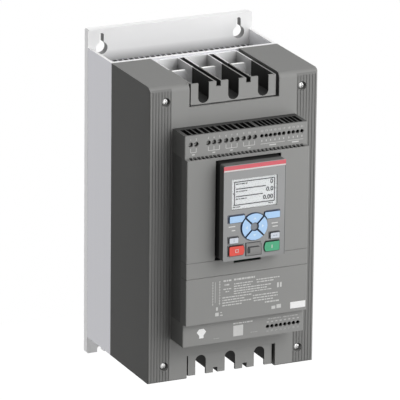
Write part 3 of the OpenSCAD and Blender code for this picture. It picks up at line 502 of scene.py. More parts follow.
for side in ("left", "right"):
    finish_node("fan_frame_" + side, fan_black, 0.4)
    low, high = box_mm("fan_rotor_" + side)
    frame_low, frame_high = box_mm("fan_frame_" + side)
    axis = (frame_low + frame_high) / 2
    hub_top, shaft_bottom = high.z, low.z
    hub_bottom = hub_top - hub_height
    middle = (hub_top + hub_bottom) / 2
    hub = turned_shape("fan hub", [(radius, height - middle) for radius, height in (
        (0, shaft_bottom), (shaft_radius, shaft_bottom), (shaft_radius, hub_bottom),
        (hub_radius - hub_chamfer, hub_bottom), (hub_radius, hub_bottom + hub_chamfer),
        (hub_radius, hub_top - hub_round), (hub_radius - hub_round * 0.3, hub_top - hub_round * 0.3),
        (hub_radius - hub_round, hub_top), (0, hub_top),
    )], turned_steps)
    rotor = run_tree(
        "fan_rotor_" + side + "_finished", spin_tree,
        count=blade_count, blade=blade, hub=hub, finish=fan_black,
    )
    rotor.data.transform(Matrix.Translation(Vector((axis.x, axis.y, middle)) * MM))
    smooth_faces(rotor, 35)
    place_piece(rotor, "fan_rotor_" + side, "device_black", "fan_rotor_" + side)
    drop_shapes(hub)
drop_shapes(blade)


# Power parts
# Thyristor modules on the heat sink, tinned bars to the cables, bypass contactors and current transformers.
# Cast and moulded devices on a bare metal face, with a driver board screwed on in front of them.
def plated_metal(name, colour, low_gloss, high_gloss):
    """Tin or zinc plating: a soft mirror with fine random scratches."""
    material, tree, shader, place = start_finish(name)
    shader.inputs["Metallic"].default_value = 1
    vary_colour(tree, shader, noise(tree, place, 60, 3), colour, 0.05)
    vary_roughness(tree, shader, noise(tree, place, 420, 4), low_gloss, high_gloss)
    raise_bumps(tree, shader, noise(tree, place, 1200, 2), 0.01 * MM, 0.15)
    return material


def solder_mask(name, colour):
    """Green board with slightly raised, paler copper tracks under the mask."""
    material, tree, shader, place = start_finish(name)
    flat = add_node(tree, "ShaderNodeMapping", Vector=place, Rotation=(math.pi / 2, 0, 0))
    tracks = add_node(
        tree, "ShaderNodeTexBrick", Vector=flat.outputs["Vector"], Scale=90,
        Mortar_Size=0.06, Brick_Width=0.9, Row_Height=0.35,
    ).outputs["Fac"]
    mask = blend_colours(tree, tracks, colour, [c * 1.9 for c in colour])
    tree.links.new(mask, shader.inputs["Base Color"])
    vary_roughness(tree, shader, noise(tree, place, 300, 2), 0.25, 0.4)
    raise_bumps(tree, shader, tracks, 0.03 * MM, 0.5)
    return material


def bar_face(corners, normal):
    """The contact face in front is brushed matt before the cable lug is bolted on."""
    return 1 if normal.y < -0.9 else 0


module_black = moulded_plastic("module_black", (0.03, 0.03, 0.032), 0.35, 0.5, 0.4)
contactor_grey = moulded_plastic("contactor_grey", (0.3, 0.3, 0.31), 0.45, 0.6, 0.3)
tin_plate = plated_metal("tin_plate", (0.9, 0.9, 0.885), 0.3, 0.45)
bar_front = blasted_aluminium("bar_front", (0.75, 0.75, 0.76), 0.1)
board_green = solder_mask("board_green", (0.012, 0.06, 0.03))
for phase in ("1", "2", "3"):
    finish_node("thyristor_module_" + phase, module_black, 0.4)
    for row in ("line", "load"):
        finish_node(row + "_busbar_" + phase, tin_plate, 0.4, [bar_front], bar_face)
    finish_node("bypass_contactor_" + phase, contactor_grey, 0.6)
    finish_node("current_transformer_" + phase, module_black, 0.5)
finish_node("power_board", board_green, 0.1)


# Terminal housings
# Deep trays of pale insulating thermoset round the ends of the bars, one row above and one below.
# They are pressed in one piece, smooth and slightly glossy, and screwed to the heat sink.
phase_pitch = 35.4
tray_left, tray_reach, tray_outside = -8, 13.2, 15.1
tray_rear, tray_middle = -76.8, -102
tray_low, tray_rim = 156, 166.3


def shaded_tray(name, colour, corner_share):
    """Pale thermoset with painted shade that greys into the deep corner at the right of each compartment.
    """
    material = moulded_plastic(name, colour, 0.25, 0.36, 0.5)
    tree, base, axes = finish_parts(material)
    aside = calculate(tree, "WRAP", axes["X"], phase_pitch / 2 * MM, -phase_pitch / 2 * MM)
    height = calculate(tree, "ABSOLUTE", axes["Z"])
    shade = ramp(tree, aside, tray_left * MM, tray_reach * MM, 0, 1)
    for more in (
        ramp(tree, axes["Y"], tray_middle * MM, tray_rear * MM, 0.15, 1),
        ramp(tree, height, tray_low * MM, tray_rim * MM, 1, 0.35),
    ):
        shade = calculate(tree, "MULTIPLY", shade, more)
    shade_colour(tree, base, shade, [c * corner_share for c in colour])
    return material


def tray_face(corners, normal):
    """The rims take a paler, glossier finish as painted highlight, and the slots between the compartments
    are painted dark as shade.
    """
    if abs(normal.z) > 0.9 and all(abs(corner.z) > tray_rim - 0.1 for corner in corners):
        return 1
    low, high = tray_outside - 0.1, phase_pitch - tray_outside + 0.1
    return 2 if all(low < abs(corner.x) < high for corner in corners) else 0


pale_thermoset = shaded_tray("pale_thermoset", (0.93, 0.93, 0.935), 0.3)
# A painted highlight on the rims, and painted shade in the slots between the compartments
tray_edge = moulded_plastic("tray_edge", (0.97, 0.97, 0.97), 0.18, 0.28, 1.0)
slot_grey = moulded_plastic("slot_grey", (0.13, 0.13, 0.13), 0.5, 0.64, 0.2)
for row in ("line", "load"):
    finish_node(row + "_terminal_housing", pale_thermoset, 0.2, [tray_edge, slot_grey], tray_face)


# Terminal shrouds
# A grey front with three U-slots and the channels behind it that keep the cables of the phases apart.
# Each shroud is one thin-walled moulding that slides into the cover's notch from the front.
shroud_grey = moulded_plastic("shroud_grey", (0.3, 0.3, 0.293))
# The insides of the channels are painted dark, as shade
channel_grey = moulded_plastic("channel_grey", (0.028, 0.028, 0.027), 0.55, 0.7, 0.15)
shroud_back, shroud_rim = -171.4, 160


def channel_inside(corners, normal):
    """Everything behind the shroud's front but the rims of the channels, painted dark as shade."""
    rim = abs(normal.z) > 0.9 and all(abs(corner.z) > shroud_rim for corner in corners)
    behind = all(corner.y > shroud_back for corner in corners) or normal.y > -0.5
    return 1 if behind and not rim else 0


for row in ("line", "load"):
    finish_node(row + "_terminal_shroud", shroud_grey, 0.3, [channel_grey], channel_inside)


# Cover
# One large grey moulding over the power parts: rounded above, notched for the shrouds, ribbed at its sides.
# The ribbed strips and the lower rim carry painted shade, so they look darker than the rest.
strip_inner, strip_outer = 74.4, 97.4
front_plane = -176.8
rim_foot, rim_head = -167.5, -167.1
# Painted shade on the ribbed strips and along the lower rim
strip_shade, rim_shade = 0.72, 0.3


def ribbed_cover(name, colour):
    """The cover's plastic, with painted shade on the two ribbed strips of its front and along its lower
    rim.
    """
    material = moulded_plastic(name, colour, clouds=9)
    tree, base, axes = finish_parts(material)
    reach = calculate(tree, "ABSOLUTE", axes["X"])
    inside = ramp(tree, reach, (strip_inner - 0.4) * MM, strip_inner * MM, 0, 1)
    for bound in (
        ramp(tree, reach, strip_outer * MM, (strip_outer + 0.4) * MM, 1, 0),
        ramp(tree, axes["Y"], (front_plane + 1) * MM, (front_plane + 1.4) * MM, 1, 0),
    ):
        inside = calculate(tree, "MULTIPLY", inside, bound)
    rim = ramp(tree, axes["Z"], rim_foot * MM, rim_head * MM, 1, 0)
    for factor, share in ((inside, strip_shade), (rim, rim_shade)):
        shade_colour(tree, base, factor, [c * share for c in colour])
    return material


def cover_foot(corners, normal):
    """The cover's underside, which has the plain texture of its inside."""
    return 1 if normal.z < -0.9 and all(corner.z < rim_foot for corner in corners) else 0


cover_colour = (0.285, 0.285, 0.278)
cover_grey = ribbed_cover("cover_grey", cover_colour)
foot_grey = moulded_plastic("foot_grey", cover_colour)
finish_node("front_cover", cover_grey, 0.35, [foot_grey], cover_foot)


# Cover screws and pillars
# Four zinc-plated screws with domed heads and cross recesses, which draw the cover on to hexagon pillars.
# Heads are cold formed; pillars are cut from hexagon bar and screwed into the heat sink.
zinc_plate = plated_metal("zinc_plate", (0.47, 0.47, 0.465), 0.3, 0.45)
head_height, head_radius = 3.2, 4.25
shank_radius, shank_length = 2.0, 20.0
head_profile = [
    (0, head_height), (1.6, 3.1), (2.8, 2.75), (3.6, 2.2), (4.05, 1.55), (head_radius, 0.8),
    (head_radius, 0), (shank_radius, 0), (shank_radius, -shank_length), (0, -shank_length),
]
recess_width, recess_span = 1.3, 4.8
recess_middle, recess_depth, recess_rim = 3.4, 1.8, 0.6

screw = turned_shape("cover screw", head_profile, turned_steps)
cross = bmesh.new()
for wide, high in ((recess_width, recess_span), (recess_span, recess_width)):
    bmesh.ops.create_cube(cross, size=1, matrix=(
        Matrix.Translation((0, 0, recess_middle * MM))
        @ Matrix.Diagonal((wide * MM, high * MM, 2 * recess_depth * MM, 1))
    ))
cross_piece = keep_shape("cross recess", cross)
pressed = screw.modifiers.new("pressed recess", "BOOLEAN")
pressed.object = cross_piece
pressed.operation = "DIFFERENCE"
pressed.use_self = True

corner_tree, corner_in, corner_out = new_tree(
    "screws at four corners",
    ("Reach X", "NodeSocketFloat"), ("Reach Z", "NodeSocketFloat"), ("Screw", "NodeSocketObject"),
)
corners = add_node(
    corner_tree, "GeometryNodeMeshGrid", Size_X=corner_in["Reach X"], Size_Y=corner_in["Reach Z"],
    Vertices_X=2, Vertices_Y=2,
)
corner_tree.links.new(instance_shape(corner_tree, corner_in["Screw"], corners.outputs["Mesh"]), corner_out)
screw_low, screw_high = box_mm("cover_screws")
cover_screws = run_tree(
    "cover_screws_finished", corner_tree,
    reach_x=(screw_high.x - screw_low.x - 2 * head_radius) * MM,
    reach_z=(screw_high.z - screw_low.z - 2 * head_radius) * MM,
    screw=screw, finish=zinc_plate,
)
head_seat = screw_low.y + head_height
cover_screws.data.transform(
    Matrix.Translation((0, head_seat * MM, 0)) @ Matrix.Rotation(math.pi / 2, 4, "X")
)
smooth_faces(cover_screws, 35)
# The cross recesses are painted dark, as shade inside them
recess_shade = plated_metal("recess_shade", (0.08, 0.08, 0.08), 0.5, 0.6)
cover_screws.data.materials.append(recess_shade)
screw_x, screw_z = screw_high.x - head_radius, screw_high.z - head_radius
for face in cover_screws.data.polygons:
    centre = face.center / MM
    aside = math.hypot(abs(centre.x) - screw_x, abs(centre.z) - screw_z)
    if aside < recess_span / 2 and screw_low.y + recess_rim < centre.y < head_seat:
        face.material_index = 1
place_piece(cover_screws, "chassis", "zinc_steel", "cover_screws")
drop_shapes(screw, cross_piece)
finish_node("cover_pillars", zinc_plate, 0.3)


# Control unit
# A shallow box on the cover's front that carries the control board and everything in front of it.
# It is moulded in the same grey as the cover and clipped on from behind.
panel_grey = moulded_plastic("panel_grey", cover_colour)
base_grey = moulded_plastic("base_grey", (0.205, 0.205, 0.2), 0.55, 0.68, 0.2)


def two_tone_plastic(name, rear, front, y_rear, y_front):
    """Fine matt moulding with painted shade, whose tone runs from one value to another between two depths.
    """
    material = moulded_plastic(name, rear)
    tree, base, axes = finish_parts(material)
    shade_colour(tree, base, ramp(tree, axes["Y"], y_front * MM, y_rear * MM, 1, 0), front)
    return material


def unit_top(corners, normal):
    """The unit's upper side, which takes painted shade between the cover and the clamps."""
    return 1 if normal.z > 0.5 and all(corner.z > unit_shoulder for corner in corners) else 0


unit_shoulder = 118
# Painted shade on the unit's top, darkest against the cover
top_shade = two_tone_plastic("top_shade", (0.045, 0.045, 0.044), (0.15, 0.15, 0.147), front_plane, -206)
finish_node("control_base", base_grey, 0.3, [top_shade], unit_top)
finish_node("control_board", board_green, 0.1)


# Terminal strips
# A row of clamps above and a shorter one below, each behind a cover with screw holes and wire slots.
# Clamp bodies are black, their screws zinc plated; numbers and group brackets are pad printed in white.
def printed_ink(name, colour):
    """A thin, slightly uneven coat, for ink and for painted shadow lines."""
    material, tree, shader, place = start_finish(name)
    vary_colour(tree, shader, noise(tree, place, 500, 2), colour, 0.07)
    vary_roughness(tree, shader, noise(tree, place, 900, 2), 0.5, 0.65)
    shader.inputs["Specular IOR Level"].default_value = 0.25
    return material


ink_proud, ink_sunk = 0.03, 0.02


def add_field(shape, outline, y_front):
    """A flat printed field from corners in millimetres, a hair proud of the face that it lies on."""
    front = [shape.verts.new((x * MM, (y_front - ink_proud) * MM, z * MM)) for x, z in outline]
    rear = [shape.verts.new((x * MM, (y_front + ink_sunk) * MM, z * MM)) for x, z in outline]
    shape.faces.new(front)
    shape.faces.new(rear[::-1])
    for i in range(len(outline)):
        j = (i + 1) % len(outline)
        shape.faces.new((front[j], front[i], rear[i], rear[j]))


def add_bar(shape, x0, x1, z0, z1, y_front):
    add_field(shape, ((x0, z0), (x1, z0), (x1, z1), (x0, z1)), y_front)


def add_number(shape, words, x, z, height, y_front, weight=0):
    """Figures in the plain built-in face, centred on a place."""
    curve = bpy.data.curves.new("figures", "FONT")
    curve.body = words
    curve.size = height * 1.4 * MM
    curve.align_x = "CENTER"
    curve.align_y = "CENTER"
    curve.extrude = (ink_proud + ink_sunk) / 2 * MM
    curve.resolution_u = 2
    curve.offset = weight * MM
    holder = show(bpy.data.objects.new("figures", curve))
    mesh = plain_mesh(holder)
    y_middle = y_front + (ink_sunk - ink_proud) / 2
    mesh.transform(
        Matrix.Translation((x * MM, y_middle * MM, z * MM)) @ Matrix.Rotation(math.pi / 2, 4, "X")
    )
    shape.from_mesh(mesh)
    bpy.data.objects.remove(holder)
    bpy.data.meshes.remove(mesh)


def place_print(name, shape, finish, body, slot):
    piece = keep_shape(name, shape)
    piece.data.materials.append(finish)
    return place_piece(piece, body, slot)


# The clamps' black, also painted on slot walls as shade
clamp_black = moulded_plastic("clamp_black", (0.008, 0.008, 0.008), 0.5, 0.65, 0.15)
# The clamp screws' steel is painted darker, as shade deep in their holes
clamp_steel = plated_metal("clamp_steel", (0.2, 0.2, 0.195), 0.4, 0.55)
white_ink = printed_ink("white_ink", (0.72, 0.72, 0.71))
pale_ink = printed_ink("pale_ink", (0.5, 0.5, 0.49))
soft_ink = printed_ink("soft_ink", (0.62, 0.62, 0.61))
label_white = printed_ink("label_white", (0.95, 0.95, 0.94))
zone_front, zone_foot, zone_side = -207.7, 94.25, 72
notch_height, notch_depth = 1.2, 1.6


def zone_face(corners, normal):
    """Notches in the lower edge and walls of the wire slots are painted dark as shade; the top takes
    painted shade.
    """
    low = all(corner.z < zone_foot + notch_height + 0.01 for corner in corners)
    if low and all(corner.y < zone_front + notch_depth + 0.01 for corner in corners):
        return 1
    within = all(abs(corner.x) < zone_side and corner.y > zone_front + 1 for corner in corners)
    return 1 if within and abs(normal.z) < 0.5 else 2 * unit_top(corners, normal)


finish_node("upper_terminal_cover", panel_grey, 0.15, [clamp_black, top_shade], zone_face)
finish_node("lower_terminal_cover", panel_grey, 0.25)
for row in ("upper", "lower"):
    finish_node(row + "_terminal_blocks", clamp_black, 0.1)
    finish_node(row + "_terminal_screws", clamp_steel, 0.15)

upper_holes_z = 109.95
large_groups = [[-65.6, -59.0], [-44.8, -38.2, -31.6], [-24.0, -17.4, -10.8], [-3.2, 3.4, 10.0]]
small_pitch = 5.2
small_groups = [
    [start + small_pitch * k for k in range(holes)] for start, holes in ((18.5, 6), (50.7, 4))
]
figure_height, figure_rise = 2.3, 5.4
line_width = 0.55
bracket_foot, bracket_head = upper_holes_z - 8.6, upper_holes_z - 4.2
mark_foot, mark_head, mark_width = upper_holes_z - 6.6, upper_holes_z - 4.4, 0.9
rail_z = upper_holes_z - 9.2

zone_print = bmesh.new()
count = 0
for group in large_groups + small_groups:
    for x in group:
        count += 1
        add_number(zone_print, str(count), x, upper_holes_z + figure_rise, figure_height, zone_front)
for group in large_groups:
    for x in group:
        add_bar(zone_print, x - line_width / 2, x + line_width / 2, bracket_foot, bracket_head, zone_front)
    add_bar(zone_print, group[0], group[-1], bracket_foot - line_width, bracket_foot, zone_front)
    centre = (group[0] + group[-1]) / 2
    add_bar(zone_print, centre - 1.6, centre + 1.6, bracket_foot - 3.4, bracket_foot - 2.2, zone_front)
for group in small_groups:
    for x in group:
        add_bar(zone_print, x - mark_width / 2, x + mark_width / 2, mark_foot, mark_head, zone_front)
    add_bar(zone_print, group[0] - 1.4, group[-1] + 1.4, rail_z, rail_z + line_width * 0.8, zone_front)
    centre = (group[0] + group[-1]) / 2
    add_bar(zone_print, centre - 4, centre + 4, rail_z - 2.6, rail_z - 1.3, zone_front)
place_print("terminal_numbers_upper", zone_print, soft_ink, "chassis", "terminal_plastic")

word_lengths = (3.1, 1.7, 4.2, 2.3, 1.2, 3.6)
word_gap = 0.75


def add_words(shape, x0, x1, z0, z1, y_front, first=0):
    """A line of print, drawn as plain bars as long as words."""
    x, word = x0, first
    while x < x1 - word_gap:
        end = min(x + word_lengths[word % len(word_lengths)], x1)
        add_bar(shape, x, end, z0, z1, y_front)
        x, word = end + word_gap, word + 1


strip_front = -206.8
lower_holes_z = -109.05
lower_first = 29.4
lower_holes = [lower_first + small_pitch * k for k in range(8)]
strip_print = bmesh.new()
for number, x in enumerate(lower_holes, count + 1):
    add_number(strip_print, str(number), x, lower_holes_z - 5.2, 1.9, strip_front)
    add_bar(strip_print, x - 1.2, x + 1.2, lower_holes_z + 4.6, lower_holes_z + 5.9, strip_front)
add_words(strip_print, lower_first, 45, lower_holes_z + 8.2, lower_holes_z + 9.2, strip_front)
add_words(strip_print, 48, 65.8, lower_holes_z + 8.2, lower_holes_z + 9.2, strip_front, 2)
add_words(strip_print, 8.6, 18, -113.1, -112.7, strip_front, 3)
add_words(strip_print, -35.4, -27.6, -114.4, -114.0, strip_front, 1)
place_print("terminal_numbers_lower", strip_print, pale_ink, "chassis", "terminal_plastic")

# A plain pale square and a bolt with its head uppermost, the sign for the tightening of the screws
badge_print = bmesh.new()
add_bar(badge_print, -12.0, -0.2, -114.8, -102.6, strip_front)
add_words(badge_print, -12.2, 11, -100.8, -99.4, strip_front)
place_print("plain_square", badge_print, soft_ink, "chassis", "terminal_plastic")
bolt_x, bolt_z, bolt_wide, bolt_high = -50.1, -104.6, 5.6, 4.2
bolt_print = bmesh.new()
add_field(bolt_print, [
    (bolt_x + bolt_wide * math.cos(angle), bolt_z + bolt_high * math.sin(angle))
    for angle in (math.radians(60 * k) for k in range(6))
], strip_front)
add_bar(bolt_print, bolt_x - 2.6, bolt_x + 2.6, bolt_z - 7, bolt_z - 3.6, strip_front)
place_print("bolt_sign", bolt_print, label_white, "chassis", "terminal_plastic")


# Front mouldings
# The panel round the keypad, a narrow band with the slot of its catch, and the lower front below them.
# They clip on to the control unit one above the other, so fine seams show between them.
panel_front = -214.3
ledge_back = -207.8


def ledge_slot(corners, normal):
    """Walls of the marker slots in the ledge above the keypad, open to the inside and painted dark as
    shade.
    """
    high = all(corner.z > zone_foot - 2.5 for corner in corners)
    behind = all(panel_front + 0.5 < corner.y < ledge_back + 0.1 for corner in corners)
    return 1 if high and behind and abs(normal.z) < 0.5 else 0


finish_node("keypad_panel", panel_grey, 0.25, [clamp_black], ledge_slot)
band = finish_node("middle_band", panel_grey, 0.25)
finish_node("lower_front", panel_grey, 0.25)

# The slot's foot is drawn up a little, because the catch behind it fills the lower part
slot_foot, slot_rise = -28.75, 1.2
lift_level(band, slot_foot, slot_rise)

# Lines of print like a table on the lower front, and a blank white label for the owner's notes
table_print = bmesh.new()
for x, z_low in ((-40.6, -73.4), (-37.6, -70.2), (-32.4, -73.4)):
    add_bar(table_print, x - 0.25, x + 0.25, z_low, -46.6, panel_front)
row_count, row_top, row_pitch = 9, -47.4, 3.1
for k in range(row_count):
    z = row_top - row_pitch * k
    add_bar(table_print, -41.2, -39.9, z, z + 1.1, panel_front)
    add_bar(table_print, -33.1, -31.6, z, z + 1.1, panel_front)
for x0, x1, z0, z1 in (
    (-28, -18.6, -47.6, -45.8), (-26.6, -20.4, -52.2, -50.6), (-28, -18.6, -56.8, -55.6),
    (-25.4, -21, -59.8, -58.6), (-15.4, 9.7, -47.6, -45.6), (11.4, 39, -50.8, -49.6),
    (-15.4, 7, -52.2, -51.0), (-15.4, 5.4, -55.0, -53.8), (12, 33, -53.6, -52.4),
    (-15.4, 30, -57.8, -56.6), (-15.4, 24, -60.6, -59.4), (-15.4, 29.6, -63.2, -62.2),
    (-29, 5.5, -66.4, -65.2), (-29, -2, -69.4, -68.2), (-29, 5.5, -72.4, -71.2), (-29, -6, -75.4, -74.2),
    (7.4, 37, -68.6, -67.4), (7.4, 38, -71.6, -70.4), (8.6, 33, -74.6, -73.4), (22, 40, -78.2, -76.6),
):
    add_words(table_print, x0, x1, z0, z1, panel_front, int(x1))
for x0, x1, z0, z1 in (
    (36.4, 38.4, -62.4, -56.8), (39.8, 41.8, -62.4, -56.8), (30, 34.6, -86.6, -83), (36, 41.4, -86.4, -82),
    (-36.4, -34.4, -79.4, -75.6), (-37.4, -33.2, -85.8, -81.8), (-31.4, -29.4, -82.8, -81.8),
    (-31.4, -28.6, -86, -84.8),
):
    add_bar(table_print, x0, x1, z0, z1, panel_front)
place_print("table_print", table_print, soft_ink, "chassis", "terminal_plastic")
label_shape = bmesh.new()
add_bar(label_shape, 52.6, 70.8, -89.2, -81.8, panel_front)
place_print("blank_label", label_shape, label_white, "chassis", "terminal_plastic")


# Keypad shell and cradle
# A black two-part hand unit that plugs into a cradle behind the panel and can be drawn straight out.
# Shell and cradle are moulded with a fine matt texture.
parting_y = -220.4
shell_black = moulded_plastic("shell_black", (0.03, 0.03, 0.03), 0.5, 0.62, 0.3)
# The shell's rear is painted near black, as shade in the gap round it
shell_halves = two_tone_plastic(
    "shell_halves", (0.016, 0.016, 0.016), (0.165, 0.165, 0.16), parting_y, parting_y - 0.3
)
finish_node("keypad_cradle", shell_black, 0.2)
finish_node("keypad_housing", shell_halves, 0.5)
finish_node("keypad_board", board_green, 0.1)
mat_rubber = moulded_plastic("mat_rubber", (0.1, 0.1, 0.11), 0.7, 0.85, 0.15)
finish_node("key_mat", mat_rubber, 0.1)


# Keypad face
# The front half of the shell with a satin grey overlay, a red printed strip and moats round the keys.
# The overlay covers only the outermost face, so the moats and the sides stay black.
def satin_overlay(name, colour, low_gloss, high_gloss):
    """Printed film with a soft sheen and a barely visible haze."""
    material, tree, shader, place = start_finish(name)
    vary_colour(tree, shader, noise(tree, place, 24, 2), colour, 0.025)
    vary_roughness(tree, shader, noise(tree, place, 800, 2), low_gloss, high_gloss)
    raise_bumps(tree, shader, noise(tree, place, 2500, 2), 0.008 * MM, 0.2)
    return material


face_front = -230.7
ring_x, ring_z = -0.6, 17.05
ring_reach, hub_reach = 16.0, 4.9
face_foot, face_head, foot_shade = -18.75, 40, 0.82


def keypad_overlay(name, colour, ring, hub):
    """The overlay's grey with painted shade deeper at its foot, a dark ring behind the arrow keys painted
    as shade between them, and a bluish hub.
    """
    material = satin_overlay(name, colour, 0.4, 0.5)
    tree, base, axes = finish_parts(material)
    foot = ramp(tree, axes["Z"], face_foot * MM, face_head * MM, 1, 0)
    shade_colour(tree, base, foot, [c * foot_shade for c in colour])
    above = calculate(tree, "SUBTRACT", axes["Z"], ring_z * MM)
    for centre_x, reach, disc_colour in ((ring_x, ring_reach, ring), (0, hub_reach, hub)):
        aside = calculate(tree, "SUBTRACT", axes["X"], centre_x * MM)
        squares = [calculate(tree, "MULTIPLY", term, term) for term in (aside, above)]
        away = calculate(tree, "SQRT", calculate(tree, "ADD", *squares))
        shade_colour(tree, base, ramp(tree, away, (reach - 0.1) * MM, reach * MM, 1, 0), disc_colour)
    return material


# Painted shade at the overlay's foot and in the ring behind the arrow keys
overlay_grey = keypad_overlay(
    "overlay_grey", (0.3, 0.303, 0.303), (0.02, 0.035, 0.085), (0.185, 0.205, 0.23)
)


def behind_overlay(corners, normal):
    """Everything but the outermost face of the front half."""
    return 1 if corners[0].y > face_front + 0.1 or normal.y > -0.9 else 0


finish_node("keypad_face", overlay_grey, 0.25, [shell_halves], behind_overlay)
strip_red = satin_overlay("strip_red", (0.63, 0.095, 0.122), 0.36, 0.46)
finish_node("accent_strip", strip_red, 0.1)

face_print = bmesh.new()
strip_low, strip_high = box_mm("accent_strip")
add_bar(
    face_print, strip_low.x + 0.3, strip_high.x - 0.3, strip_low.z + 0.15, strip_low.z + 1.6, strip_low.y
)
for x0, x1, z in ((-30.4, -22.6, 20.0), (-26.6, -22.6, 15.4), (20.6, 28, 18.1), (21.8, 28, 14.3)):
    add_bar(face_print, x0, x1, z - 0.55, z + 0.55, face_front)
place_print("keypad_print", face_print, white_ink, "keypad", "key_grey")

# Painted shadow lines beside the keys and the lid and along one edge, which make the caps look deeper than
# they are
dark_ink = printed_ink("dark_ink", (0.035, 0.037, 0.042))
navy_ink = printed_ink("navy_ink", (0.022, 0.037, 0.09))
line_gap, line_side, line_top, line_start = 0.45, 0.9, 0.5, 2.5
edge_low, edge_high = box_mm("keypad_face")
edge_lines, key_lines = bmesh.new(), bmesh.new()
add_bar(
    edge_lines, edge_high.x - 0.75, edge_high.x - 0.3, edge_low.z + 0.3, strip_low.z - 0.2, face_front
)
for node, shape, left_too, weight in (
    ("soft_key_left", key_lines, True, 1), ("soft_key_right", key_lines, False, 1),
    ("info_key", edge_lines, True, 1), ("local_key", edge_lines, True, 1),
    ("stop_key", edge_lines, True, 1), ("start_key", edge_lines, False, 1),
    ("usb_flap", edge_lines, True, 1.6),
):
    low, high = box_mm(node)
    left, right = low.x - line_gap, high.x - 0.5
    foot, head = low.z, high.z + line_gap
    top = head + line_top * weight
    if left_too:
        add_bar(shape, left - line_side * weight, left, foot, top, face_front)
    add_bar(shape, left if left_too else left + line_start, right, head, top, face_front)
place_print("key_edges_dark", edge_lines, dark_ink, "keypad", "keypad_shell")
place_print("key_edges_navy", key_lines, navy_ink, "keypad", "keypad_shell")


# Display
# A reflective liquid-crystal module behind a clear acrylic window, lit evenly from its edge.
# The window is glued into the face; the picture is a plain list of three values in a ruled frame.
def clear_acrylic(name):
    material, tree, shader, place = start_finish(name)
    shader.inputs["Base Color"].default_value = (0.97, 0.98, 0.98, 1)
    shader.inputs["Transmission Weight"].default_value = 1
    shader.inputs["IOR"].default_value = 1.25
    shader.inputs["Specular IOR Level"].default_value = 0.25
    vary_roughness(tree, shader, noise(tree, place, 90, 2), 0.0, 0.04)
    return material


def lit_screen(name, colour, level):
    """Pale screen with the faint grid of its dots and an even light of its own."""
    material, tree, shader, place = start_finish(name)
    flat = add_node(tree, "ShaderNodeMapping", Vector=place, Rotation=(math.pi / 2, 0, 0))
    dots = add_node(
        tree, "ShaderNodeTexBrick", Vector=flat.outputs["Vector"], Scale=1000,
        Mortar_Size=0.05, Brick_Width=0.35, Row_Height=0.35,
    )
    dots.offset = 0
    glow = blend_colours(tree, dots.outputs["Fac"], colour, [c * 0.95 for c in colour])
    vary_colour(tree, shader, noise(tree, place, 40, 2), [c * 0.4 for c in colour], 0.02)
    tree.links.new(glow, shader.inputs["Emission Color"])
    shader.inputs["Emission Strength"].default_value = level
    vary_roughness(tree, shader, noise(tree, place, 200, 2), 0.3, 0.4)
    return material


finish_node("display_window", clear_acrylic("window_acrylic"), 0.15)
screen = finish_node("display_module", lit_screen("screen_glow", (0.8, 0.81, 0.82), 0.28), 0.2)
window_back = -228.2
screen_gap = 0.06
for vertex in screen.data.vertices:
    if vertex.co.y < (window_back + 0.01) * MM:
        vertex.co.y = (window_back + screen_gap) * MM

screen_front = window_back + screen_gap
screen_w, screen_h = 53.5, 33.8
screen_left, screen_top = -26.75, 72.25
screen_line = 1.2
screen_figure, figure_weight = 5.0, 0.28


def on_screen(across, down):
    """Place on the screen from its left and top edges, as shares of its width and height."""
    return screen_left + screen_w * across, screen_top - screen_h * down


screen_print = bmesh.new()
for draw, a0, a1, down in (
    (add_bar, 0.05, 0.955, 0.1), (add_bar, 0.05, 0.955, 0.865), (add_bar, 0.1, 0.76, 0.335),
    (add_bar, 0.1, 0.7, 0.585), (add_words, 0.1, 0.38, 0.17), (add_words, 0.1, 0.36, 0.42),
    (add_words, 0.1, 0.34, 0.67), (add_words, 0.04, 0.2, 0.93), (add_words, 0.82, 0.95, 0.925),
):
    x0, z = on_screen(a0, down)
    x1, z = on_screen(a1, down)
    draw(screen_print, x0, x1, z - screen_line / 2, z + screen_line / 2, screen_front)
for across in (0.07, 0.955):
    x, z0 = on_screen(across, 0.87)
    x, z1 = on_screen(across, 0.09)
    add_bar(screen_print, x - screen_line / 2, x + screen_line / 2, z0, z1, screen_front)
for words, across, down in (("0", 0.89, 0.215), ("0.0", 0.85, 0.46), ("0.00", 0.815, 0.72)):
    x, z = on_screen(across, down)
    add_number(screen_print, words, x, z, screen_figure, screen_front, figure_weight)
for across, down, point in ((0.045, 0.48, -1), (0.965, 0.45, 1)):
    x, z = on_screen(across, down)
    tip, back = x + point * 0.9, x - point * 0.5
    add_field(screen_print, [(tip, z), (back, z + 1), (back, z - 1)][::point], screen_front)
screen_ink = printed_ink("screen_ink", (0.02, 0.022, 0.026))
place_print("screen_picture", screen_print, screen_ink, "keypad", "keypad_shell")


# Keys
# Ten hard caps on a rubber mat: two menu keys, four arrows in a ring, two small keys, stop and start.
# They are moulded through in one colour with satin tops; the signs on them are pad printed.
def key_plastic(name, colour):
    """Satin cap with a slight sheen and faint clouds in its colour."""
    material, tree, shader, place = start_finish(name)
    vary_colour(tree, shader, noise(tree, place, 60, 2), colour, 0.05)
    vary_roughness(tree, shader, noise(tree, place, 1200, 2), 0.34, 0.46)
    raise_bumps(tree, shader, noise(tree, place, 1800, 2), 0.008 * MM, 0.2)
    return material


# Cap walls take a darker copy of the key's colour, as painted shade
def key_wall(corners, normal):
    return 0 if normal.y < -0.9 else 1


